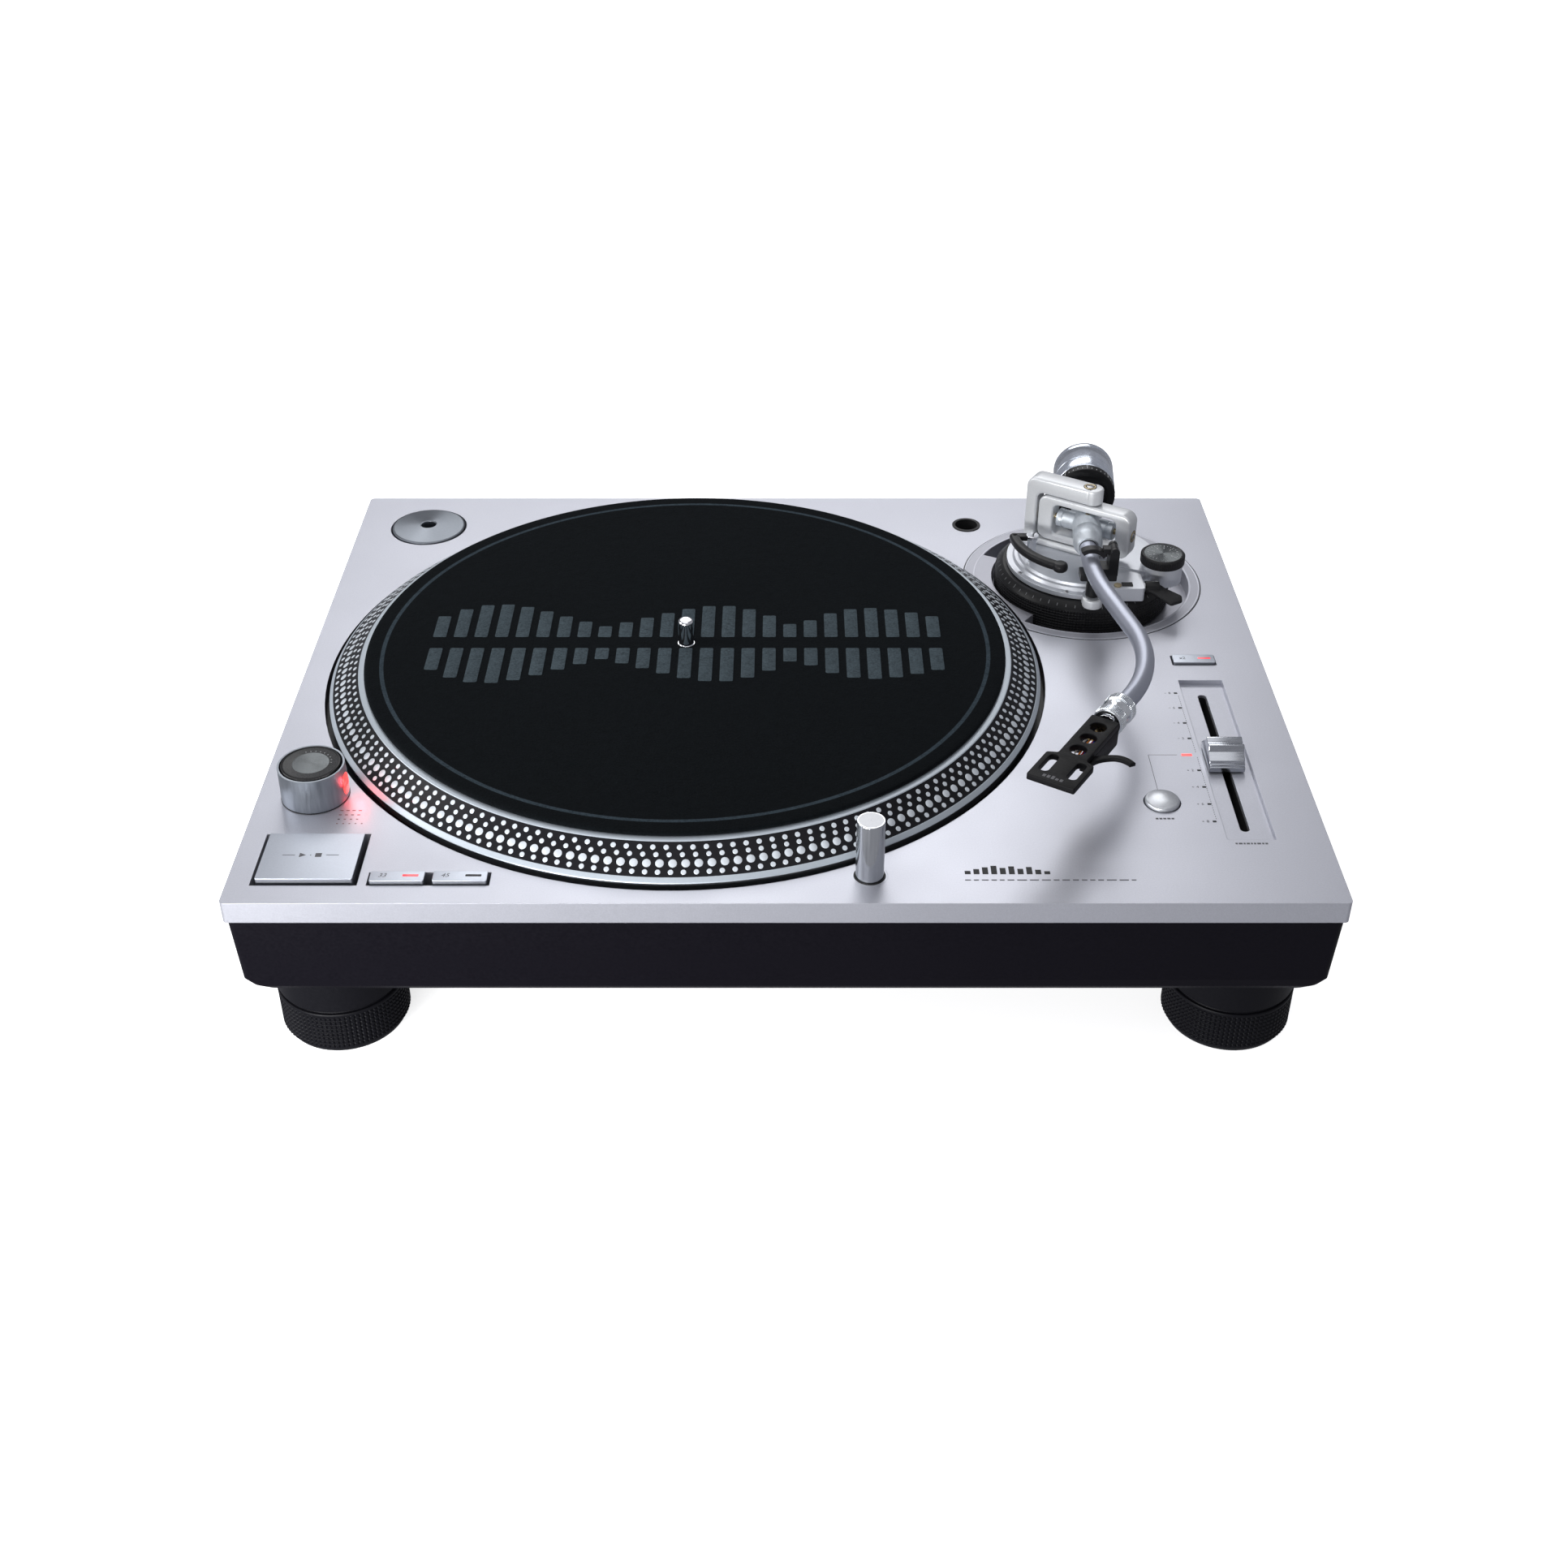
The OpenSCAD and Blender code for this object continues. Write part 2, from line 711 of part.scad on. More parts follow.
module arm_clip() {
    clip_in = tube_r + 2.3;
    clip_out = clip_in + 2.2;
    color(black) at_pivot() difference() {
        union() {
            translate([clip_axis[0], 0, clip_axis[1]]) along_y(-42.7, -38.3, 2.1);
            translate([tube_at_rest[0], -38.3, tube_at_rest[1]]) rotate([90, 0, 0]) rotate(34)
                rotate_extrude(angle = 94) translate([clip_in, 0]) square([clip_out - clip_in, 4.4]);
            span([2.2, -42.7, 37.4], [clip_axis[0], -38.3, 40.2]);
        }
        translate([clip_axis[0], 0, clip_axis[1]]) along_y(-46, -35, 0.9 + run_gap);
        translate([tube_at_rest[0], 0, tube_at_rest[1]]) along_y(-46, -35, clip_in);
    }
}

// ---------- gimbal ----------

module at_gimbal() {
    at_pivot() translate([0, 0, arm_z]) rotate(shell_heading) children();
}

gimbal_half = 12;       // half height of the gimbal ring
gimbal_reach = 25;      // half width of the gimbal ring
yoke_in = 26;
yoke_out = 32;
yoke_top = 20.5;        // above the arm's axis
yoke_under = 12.6;
pin_r = 1.5;

module upright(w0, w1, z0, z1, depth, r) {
    translate([(w0 + w1) / 2, depth / 2, (z0 + z1) / 2]) rotate([90, 0, 0]) linear_extrude(depth)
        rounded(w1 - w0, z1 - z0, r);
}

module gimbal_yoke() {
    foot_z = base_top - arm_z;
    depth = 10;
    color(bright) at_gimbal() difference() {
        union() {
            upright(-yoke_out, 7, yoke_under, yoke_top, depth, 3.4);
            upright(-yoke_out, -yoke_in, foot_z, yoke_top - 2, depth, 0.8);
            soft_span([-yoke_out, -depth / 2, foot_z], [9, depth / 2, -gimbal_half - 0.6], 3);
        }
        rod(pin_r, -yoke_out, yoke_out);
        rod(3.2, yoke_top - 2.4, yoke_top + 1);
    }
}

module yoke_pivots() {
    color([0.70, 0.66, 0.58]) at_gimbal() {
        rod(pin_r, gimbal_half - 2.6, yoke_top - 2.4);
        rod(3.1, yoke_top - 2.4, yoke_top - 0.6);
        rod(pin_r, base_top - arm_z, -gimbal_half + 2.6);
    }
}

module gimbal_ring() {
    color(silver) at_gimbal() difference() {
        upright(-gimbal_reach, gimbal_reach, -gimbal_half, gimbal_half, 9, 5);
        upright(-17, 17, -7.9, 7.9, 20, 2.5);
        for (s = [0, 180]) rotate([s, 0, 0]) rod(pin_r + run_gap, gimbal_half - 2.8, gimbal_half + 1);
        rotate([0, 90, 0]) rod(pin_r, -gimbal_reach - 1, gimbal_reach + 1);
        for (s = [90, -90]) rotate([0, s, 0]) rod(3.1, gimbal_reach - 2, gimbal_reach + 1);
    }
}

module ring_pivots() {
    color([0.70, 0.66, 0.58]) at_gimbal() for (s = [90, -90]) rotate([0, s, 0]) {
        rod(pin_r, 11.5, gimbal_reach - 2);
        rod(3.0, gimbal_reach - 2, gimbal_reach - 0.5);
    }
}

// ---------- moving arm ----------

module at_arm() {
    at_pivot() translate([0, 0, arm_z]) rotate(arm_heading) children();
}

housing_front = 25;
housing_rear = 19;
shaft_r = 4.5;
shaft_end = 66;
dial_y = [30, 35.6];
weight_y = 35.9;

module arm_housing() {
    taper = 5;
    color(bright) difference() {
        union() {
            at_arm() {
                along_y(-housing_front + taper, housing_rear, 7.2);
                translate([0, -housing_front + taper, 0]) rotate([90, 0, 0]) cylinder(r1 = 7.2, r2 = 5.4, h = taper);
                along_y(housing_rear, shaft_end, shaft_r);
            }
            at_gimbal() rotate([0, 90, 0]) rod(4.6, -15, 15);
        }
        at_gimbal() rotate([0, 90, 0]) for (s = [0, 180]) rotate([s, 0, 0]) rod(pin_r + run_gap, 11.3, 16);
        at_arm() along_y(-housing_front - 1, -8, tube_r);
    }
}

// Corners of the tube's route, each worked out from the one before
line_1 = 23.6;
bend_1 = [151, 19];
line_2 = 29.8;
bend_2 = [75, 45.5];
socket = 16;             // straight end inside the lock nut
heading_2 = arm_heading + bend_1[1];
turn_1 = line_1 * way(arm_heading);
centre_1 = turn_1 + bend_1[0] * left_of(arm_heading);
leave_1 = centre_1 - bend_1[0] * left_of(heading_2);
turn_2 = leave_1 + line_2 * way(heading_2);
centre_2 = turn_2 - bend_2[0] * left_of(heading_2);
shell_start = centre_2 + bend_2[0] * left_of(shell_heading);

// Children drawn with +Z along a heading, from a point of the route
module run_from(p, heading) {
    translate([p[0], p[1], 0]) rotate(heading) rotate([90, 0, 0]) children();
}

// The route's straight stretches and bends, as rods of radius r; the bends are a hair thinner and
// the straights reach a hair into them, so that each joint closes
module tube_route(r, spare) {
    lap = 0.1;
    run_from([0, 0], arm_heading) rod(r, 8 - spare, line_1 + lap);
    run_from(leave_1, heading_2) rod(r, -lap, line_2 + lap);
    run_from(shell_start, shell_heading) rod(r, -lap, socket + spare);
    translate(centre_1) rotate(arm_heading + 180) rotate_extrude(angle = bend_1[1])
        translate([bend_1[0], 0]) circle(r - 0.02);
    translate(centre_2) rotate(shell_heading) rotate_extrude(angle = bend_2[1])
        translate([bend_2[0], 0]) circle(r - 0.02);
}

module arm_tube() {
    color(bright) at_pivot() translate([0, 0, arm_z]) difference() {
        tube_route(tube_r, 0);
        tube_route(tube_r - 0.8, 1);
    }
}

module counterweight() {
    color(bright) at_arm() difference() {
        union() {
            along_y(weight_y, weight_y + 1, weight_r - 0.6);
            along_y(weight_y + 1, weight_y + weight_len - 1, weight_r);
            along_y(weight_y + weight_len - 1, weight_y + weight_len, weight_r - 1);
        }
        along_y(weight_y - 1, weight_y + weight_len + 1, shaft_r + run_gap);
    }
}

module weight_dial() {
    color(black) at_arm() difference() {
        along_y(dial_y[0], dial_y[1], weight_r);
        along_y(dial_y[0] - 1, dial_y[0] + 1.5, weight_r - 4);
        along_y(dial_y[0] - 1, dial_y[1] + 1, shaft_r + run_gap);
    }
}

// ---------- headshell ----------

module at_shell() {
    at_pivot() translate([shell_start[0], shell_start[1], arm_z]) rotate(shell_heading) children();
}

shell_from = 25.6;

module lock_nut() {
    color(bright) at_shell() difference() {
        union() {
            along_y(-22, -9, 6.2);
            along_y(-14, -10, 7);
            along_y(-25, -19, 6.8);
        }
        along_y(-26, -8, tube_r + run_gap);
    }
}

module headshell() {
    neck_w = 12;
    flare = [48, 54];
    tip = shell_from + shell_len;
    top = 3.4;
    under = 0.6;
    color(black) at_shell() {
        difference() {
            translate([0, 0, under]) linear_extrude(top - under) polygon([
                [-neck_w / 2, -shell_from], [neck_w / 2, -shell_from], [neck_w / 2, -flare[0]],
                [shell_w / 2, -flare[1]], [shell_w / 2, -tip], [-shell_w / 2, -tip],
                [-shell_w / 2, -flare[1]], [-neck_w / 2, -flare[0]]
            ]);
            for (t = [31.5, 38.5, 45.5]) translate([0, -t, -1]) cylinder(r = 2.7, h = 6);
            for (s = [-1, 1]) translate([s * 5.9, -64, -1]) linear_extrude(6) rounded(4, 13, 1.99);
        }
        for (s = [-1, 1]) translate([s * (neck_w / 2 - 0.7), 0, 0])
            span([-0.7, -flare[0], -4.2], [0.7, -shell_from, under]);
        span([-neck_w / 2 + 1.4, -shell_from - 2, -4.2], [neck_w / 2 - 1.4, -shell_from, under]);
        along_y(-shell_from, -socket - 0.2, tube_r - 0.1);
    }
    color([0.80, 0.30, 0.15]) at_shell() for (x = [-3, -1, 1, 3])
        translate([x, 0, -1.6]) along_y(-46, -shell_from - 2, 0.5);
}

module finger_lift() {
    bend_r = 11;
    color(black) at_shell() translate([shell_w / 2 - 4.2 + bend_r, -56.5, -0.6]) {
        rotate(60) rotate_extrude(angle = 120) translate([bend_r - 1, 0]) square([1.8, 1.2]);
        translate([-bend_r - 0.8, -3, 0]) cube([1.8, 10, 1.2]);
    }
}

// ---------- rear connectors ----------

bay_t = 1.6;
jack_z = 69;
jack_x = [-28, -10];
jack_r = 4.15;
inlet_x = 38;

module connector_panel() {
    color(black) difference() {
        span([bay_low[0], bay_low[1], bay_z[0]], [bay_high[0], bay_high[1] - 2, bay_z[1]]);
        span([bay_low[0] + bay_t, bay_low[1] + bay_t, bay_z[0] + bay_t],
             [bay_high[0] - bay_t, bay_high[1] + 1, bay_z[1] - bay_t]);
    }
}

module jacks() {
    seat = bay_low[1] + bay_t;
    for (x = jack_x) translate([x, 0, jack_z]) {
        color([0.80, 0.66, 0.35]) difference() {
            union() {
                along_y(seat, seat + 9, jack_r);
                along_y(seat, seat + 1.2, 6);
            }
            along_y(seat + 2, seat + 10, 1.6);
        }
    }
    color(bright) translate([8, 0, jack_z]) {
        along_y(seat, seat + 8, 2);
        along_y(seat + 2, seat + 6, 4.5);
    }
    color(charcoal) difference() {
        span([inlet_x - 13, seat, jack_z - 9], [inlet_x + 13, seat + 10, jack_z + 9]);
        span([inlet_x - 10, seat + 2, jack_z - 6], [inlet_x + 10, seat + 11, jack_z + 6]);
    }
}

// ---------- assembly ----------

deck_panel();
bottom_case();
base_screws();
foot_studs();
foot_front_left();
foot_front_right();
foot_rear_left();
foot_rear_right();
platter();
platter_damping();
rotor_magnet();
spindle_shaft();
slipmat();
bearing_housing();
motor_base();
stator_board();
stator_coils();
motor_screws();
main_board();
power_transformer();
adapter_45();
strobe_housing();
strobe_window();
power_knob();
power_switch();
button_tray();
start_stop_button();
speed_button_33();
speed_button_45();
double_speed_button();
reset_button();
right_button_tray();
pitch_plate();
pitch_fader_body();
pitch_fader_cap();
pitch_led();
target_light();
target_light_collar();
headshell_holder();
arm_plate();
height_ring();
arm_base();
gimbal_yoke();
yoke_pivots();
gimbal_ring();
ring_pivots();
arm_housing();
arm_tube();
counterweight();
weight_dial();
anti_skate_knob();
lift_platform();
cue_lever();
arm_rest();
arm_clip();
lock_nut();
headshell();
finger_lift();
connector_panel();
jacks();
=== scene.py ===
import json
import random
from math import atan2, cos, degrees, hypot, pi, radians, sin, tan, tau

import bpy
import bmesh
from mathutils import Matrix, Vector


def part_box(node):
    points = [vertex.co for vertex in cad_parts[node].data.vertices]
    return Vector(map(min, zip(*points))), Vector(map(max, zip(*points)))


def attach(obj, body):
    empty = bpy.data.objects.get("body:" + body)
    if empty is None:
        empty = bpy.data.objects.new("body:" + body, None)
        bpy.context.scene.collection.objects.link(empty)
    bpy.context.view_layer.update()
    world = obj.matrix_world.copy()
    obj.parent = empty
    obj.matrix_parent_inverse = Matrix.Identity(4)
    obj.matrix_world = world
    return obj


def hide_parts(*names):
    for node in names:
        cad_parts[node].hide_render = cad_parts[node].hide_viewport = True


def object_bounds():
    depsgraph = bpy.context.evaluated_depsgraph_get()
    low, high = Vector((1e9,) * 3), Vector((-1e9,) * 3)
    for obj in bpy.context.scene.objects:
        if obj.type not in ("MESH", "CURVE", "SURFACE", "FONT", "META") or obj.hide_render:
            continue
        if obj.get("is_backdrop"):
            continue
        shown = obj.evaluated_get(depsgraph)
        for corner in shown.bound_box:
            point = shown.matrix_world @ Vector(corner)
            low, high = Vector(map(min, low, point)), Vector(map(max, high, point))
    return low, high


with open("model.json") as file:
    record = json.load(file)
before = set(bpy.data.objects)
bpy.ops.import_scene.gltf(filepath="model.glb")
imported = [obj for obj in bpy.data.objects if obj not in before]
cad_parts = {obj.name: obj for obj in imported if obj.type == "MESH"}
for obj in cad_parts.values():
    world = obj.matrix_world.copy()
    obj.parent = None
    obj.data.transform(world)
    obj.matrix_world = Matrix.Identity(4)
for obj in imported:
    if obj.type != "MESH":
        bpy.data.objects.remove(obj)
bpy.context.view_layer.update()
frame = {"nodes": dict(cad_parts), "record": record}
rng = random.Random(12)

# ---- places

mm = 0.001
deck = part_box("deck_panel")[1].z
DECK_UP = 98  # millimetres from the ground to the deck's top face
SHELL_TURN, ARM_TURN = -32, -5.5  # degrees, of the headshell and of the arm's rear part about Z


def middle(node):
    """The x and y of a node's middle, in millimetres, at the deck's height."""
    low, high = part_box(node)
    centre = (low + high) / 2
    return (centre.x / mm, centre.y / mm, 0)


def add_object(name, data):
    obj = bpy.data.objects.new(name, data)
    bpy.context.scene.collection.objects.link(obj)
    return obj


# ---- materials


class Nodes:
    """A small hand for building a node tree."""

    def __init__(self, name):
        self.material = bpy.data.materials.new(name)
        self.material.use_nodes = True
        self.tree = self.material.node_tree
        self.shader = self.tree.nodes["Principled BSDF"]

    def add(self, kind, **values):
        node = self.tree.nodes.new(kind)
        for key, value in values.items():
            if hasattr(node, key):
                setattr(node, key, value)
            else:
                node.inputs[key.replace("_", " ")].default_value = value
        return node

    def link(self, a, b):
        self.tree.links.new(a, b)

    def coords(self, scale=(1, 1, 1)):
        mapping = self.add("ShaderNodeMapping", Scale=scale)
        self.link(self.add("ShaderNodeTexCoord").outputs["Object"], mapping.inputs["Vector"])
        return mapping.outputs["Vector"]

    def noise(self, vector, scale, detail=3, rough=0.6):
        node = self.add("ShaderNodeTexNoise", Scale=scale, Detail=detail, Roughness=rough)
        self.link(vector, node.inputs["Vector"])
        return node.outputs["Fac"]

    def span(self, value, low, high, a=0.3, b=0.7):
        node = self.add("ShaderNodeMapRange", From_Min=a, From_Max=b, To_Min=low, To_Max=high)
        self.link(value, node.inputs["Value"])
        return node.outputs["Result"]

    def mix(self, value, one, two):
        node = self.add("ShaderNodeMix", data_type="RGBA")
        self.link(value, node.inputs["Factor"])
        for socket, colour in (("A", one), ("B", two)):
            slot = [s for s in node.inputs if s.name == socket and s.type == "RGBA"][0]
            if isinstance(colour, tuple):
                slot.default_value = (*colour, 1)
            else:
                self.link(colour, slot)
        return [s for s in node.outputs if s.type == "RGBA"][0]

    def math(self, kind, a, b):
        node = self.add("ShaderNodeMath", operation=kind)
        for socket, value in zip(node.inputs, (a, b)):
            if isinstance(value, (int, float)):
                socket.default_value = value
            else:
                self.link(value, socket)
        return node.outputs[0]

    def bump(self, height, strength, distance, normal=None):
        node = self.add("ShaderNodeBump", Strength=strength, Distance=distance)
        self.link(height, node.inputs["Height"])
        if normal is not None:
            self.link(normal, node.inputs["Normal"])
        return node.outputs["Normal"]

    def soft_edge(self, radius):
        return self.add("ShaderNodeBevel", samples=4, Radius=radius).outputs["Normal"]


def shade(colour, amount):
    return tuple(min(1.0, c * amount) for c in colour)


def surface(
    name, colour, rough=0.4, metal=0.0, grain=600.0, grain_amount=0.08, stretch=(1, 1, 1), bump=0.1, blotch=0.04,
    edge=0.35 * mm, spin=None, **sockets,
):
    """A finish with fine grain, slow variation in tone, and softly worn edges."""
    n = Nodes(name)
    s = n.shader
    s.inputs["Metallic"].default_value = metal
    for key, value in sockets.items():
        s.inputs[key.replace("_", " ")].default_value = value
    place = n.coords(stretch)
    fine = n.noise(place, grain, 4, 0.65)
    slow = n.noise(n.coords(), 14, 3, 0.5)
    tone = n.mix(n.span(fine, 0, 1), shade(colour, 1 - grain_amount), shade(colour, 1 + grain_amount))
    tone = n.mix(n.math("MULTIPLY", n.span(slow, 0, 1), blotch * 4), tone, shade(colour, 0.8))
    n.link(tone, s.inputs["Base Color"])
    uneven = n.span(fine, -grain_amount * 0.6, grain_amount * 0.6)
    n.link(n.math("ADD", uneven, n.span(slow, rough - 0.03, rough + 0.03)), s.inputs["Roughness"])
    normal = n.soft_edge(edge) if edge else None
    if bump:
        normal = n.bump(fine, bump, 0.2 * mm, normal)
    if normal is not None:
        n.link(normal, s.inputs["Normal"])
    if spin:
        tangent = n.add("ShaderNodeTangent", direction_type="RADIAL", axis=spin)
        n.link(tangent.outputs[0], s.inputs["Tangent"])
    return n.material


silver_deck = surface("deck_silver", (0.53, 0.54, 0.595), 0.42, 0.72, grain=1500, grain_amount=0.06, bump=0.10)
case_black = surface(
    "case_charcoal", (0.0035, 0.003, 0.0055), 0.42, grain=900, grain_amount=0.15, bump=0.15,
    Specular_IOR_Level=0.10,
)
rubber = surface(
    "foot_black", (0.005, 0.005, 0.007), 0.42, grain=700, grain_amount=0.1, bump=0.1, Specular_IOR_Level=0.12,
)
black = surface("satin_black", (0.009, 0.009, 0.010), 0.38, grain=700, bump=0.1, Specular_IOR_Level=0.25)
matt_black = surface("matt_black", (0.015, 0.015, 0.016), 0.6, grain=700, bump=0.2)
arm_silver = surface(
    "cast_silver", (0.58, 0.60, 0.64), 0.34, 0.7, grain=1400, grain_amount=0.03, bump=0.04, blotch=0.01,
)
tube_silver = surface("tube_silver", (0.40, 0.42, 0.49), 0.42, 0.85, grain=900, grain_amount=0.02, bump=0, edge=0)
chrome = surface("chrome", (0.80, 0.81, 0.84), 0.10, 1.0, grain=400, bump=0.02)
steel = surface("screw_steel", (0.45, 0.45, 0.47), 0.35, 1.0)
brass = surface("brass", (0.46, 0.38, 0.24), 0.30, 1.0)
gold = surface("gold", (0.85, 0.62, 0.25), 0.2, 1.0)
copper = surface("copper", (0.70, 0.32, 0.14), 0.35, 1.0)
board_green = surface("board_green", (0.02, 0.12, 0.06), 0.35)
iron = surface("iron", (0.10, 0.09, 0.085), 0.5, 0.6)
magnet_grey = surface("magnet_grey", (0.06, 0.06, 0.065), 0.5, 0.4)
motor_grey = surface("motor_steel", (0.35, 0.36, 0.38), 0.4, 1.0)


def lit(name, colour, strength, base=(0.5, 0.03, 0.02)):
    n = Nodes(name)
    s = n.shader
    fine = n.noise(n.coords(), 900, 2)
    n.link(n.mix(n.span(fine, 0, 1), base, shade(base, 1.3)), s.inputs["Base Color"])
    s.inputs["Emission Color"].default_value = (*colour, 1)
    s.inputs["Emission Strength"].default_value = strength
    s.inputs["Roughness"].default_value = 0.2
    return n.material


red_light = lit("red_light", (1.0, 0.07, 0.07), 1.6)
lamp_light = lit("lamp_light", (1.0, 0.05, 0.08), 1.05)
plate_silver = surface("plate_silver", (0.40, 0.405, 0.45), 0.45, 0.75, grain=1500, grain_amount=0.05, bump=0.08)

side_metal = surface(
    "brushed_side", (0.36, 0.39, 0.43), 0.36, 1.0, grain=900, stretch=(1, 1, 0.1), bump=0.01, edge=0, spin="Z",
    Anisotropic=0.5,
)

# every other visible node is matt black; the pieces below replace the rest
finish = {
    "deck_panel": silver_deck, "arm_plate": plate_silver, "pitch_plate": silver_deck, "bottom_case": case_black,
    "base_screws": steel, "foot_studs": steel, "motor_screws": steel, "rotor_magnet": magnet_grey,
    "spindle_shaft": chrome, "bearing_housing": brass, "motor_base": motor_grey, "stator_board": board_green,
    "stator_coils": copper, "main_board": board_green, "power_transformer": iron, "strobe_housing": side_metal,
    "pitch_led": red_light, "arm_base": arm_silver, "arm_tube": tube_silver, "arm_rest": black, "arm_clip": black,
}


def print_ink(name, colour):
    return surface(name, colour, 0.6, edge=0, bump=0)


for name, node in frame["nodes"].items():
    node.data.materials.clear()
    node.data.materials.append(finish.get(name, matt_black))
    for p in node.data.polygons:
        p.material_index = 0

# ---- shapes
# Lengths below are millimetres: x and y from the middle of the plinth, z from the deck's top face.


def turn(angle, axis="Z"):
    return Matrix.Rotation(radians(angle), 4, axis)


def move(x=0, y=0, z=0):
    return Matrix.Translation((x, y, z))


UPRIGHT = Matrix(((1, 0, 0, 0), (0, 0, 1, 0), (0, 1, 0, 0), (0, 0, 0, 1)))  # an outline's x, y become X, Z
ACROSS = Matrix(((0, 0, 1, 0), (1, 0, 0, 0), (0, 1, 0, 0), (0, 0, 0, 1)))  # an outline's x, y become Y, Z
ALONG_X, ALONG_Y, BACKWARD = turn(90, "Y"), turn(-90, "X"), turn(90, "X")  # Z becomes X, Y or -Y
INK_HIGH, INK_SUNK, INK_EDGE = 0.03, 0.01, 0.005  # printed marks above and below their face


def circle(r, count, centre=(0, 0)):
    x, y = centre
    return [(x + r * cos(tau * i / count), y + r * sin(tau * i / count)) for i in range(count)]


def knurl(points, count, deep, low=0.2, high=0.8):
    """A wave for Shape.lathe: count teeth round the given points of a profile."""
    return lambda a, i: deep if i in points and low < (a / tau * count) % 1 < high else 0


def grooves(r, step, z, deep, count):
    """Points from r inward, every other one deep above z: the fine turning marks of a face."""
    return [(r - step * i, z + (deep if i % 2 else 0)) for i in range(count)]


def box_outline(x0, y0, x1, y1):
    return [(x0, y0), (x1, y0), (x1, y1), (x0, y1)]


def fillet(points, radius, steps=5, closed=True):
    """Rounds the corners of an outline. A point may carry its own radius as a third number."""
    out = []
    count = len(points)
    for i, p in enumerate(points):
        r = p[2] if len(p) > 2 else radius
        here = Vector(p[:2])
        a, b = Vector(points[i - 1][:2]) - here, Vector(points[(i + 1) % count][:2]) - here
        a_way, b_way = a.normalized(), b.normalized()
        half = a_way.angle(b_way, 0) / 2
        if (not closed and i in (0, count - 1)) or r <= 0 or not radians(2) < half < radians(89):
            out.append(tuple(here))
            continue
        cut = min(r / tan(half), 0.49 * a.length, 0.49 * b.length)
        r = cut * tan(half)
        centre = here + (a_way + b_way).normalized() * (r / sin(half))
        start, end = here + a_way * cut - centre, here + b_way * cut - centre
        sweep = start.angle_signed(end)
        out += [tuple(centre + Matrix.Rotation(-sweep * k / steps, 2) @ start) for k in range(steps + 1)]
    return out


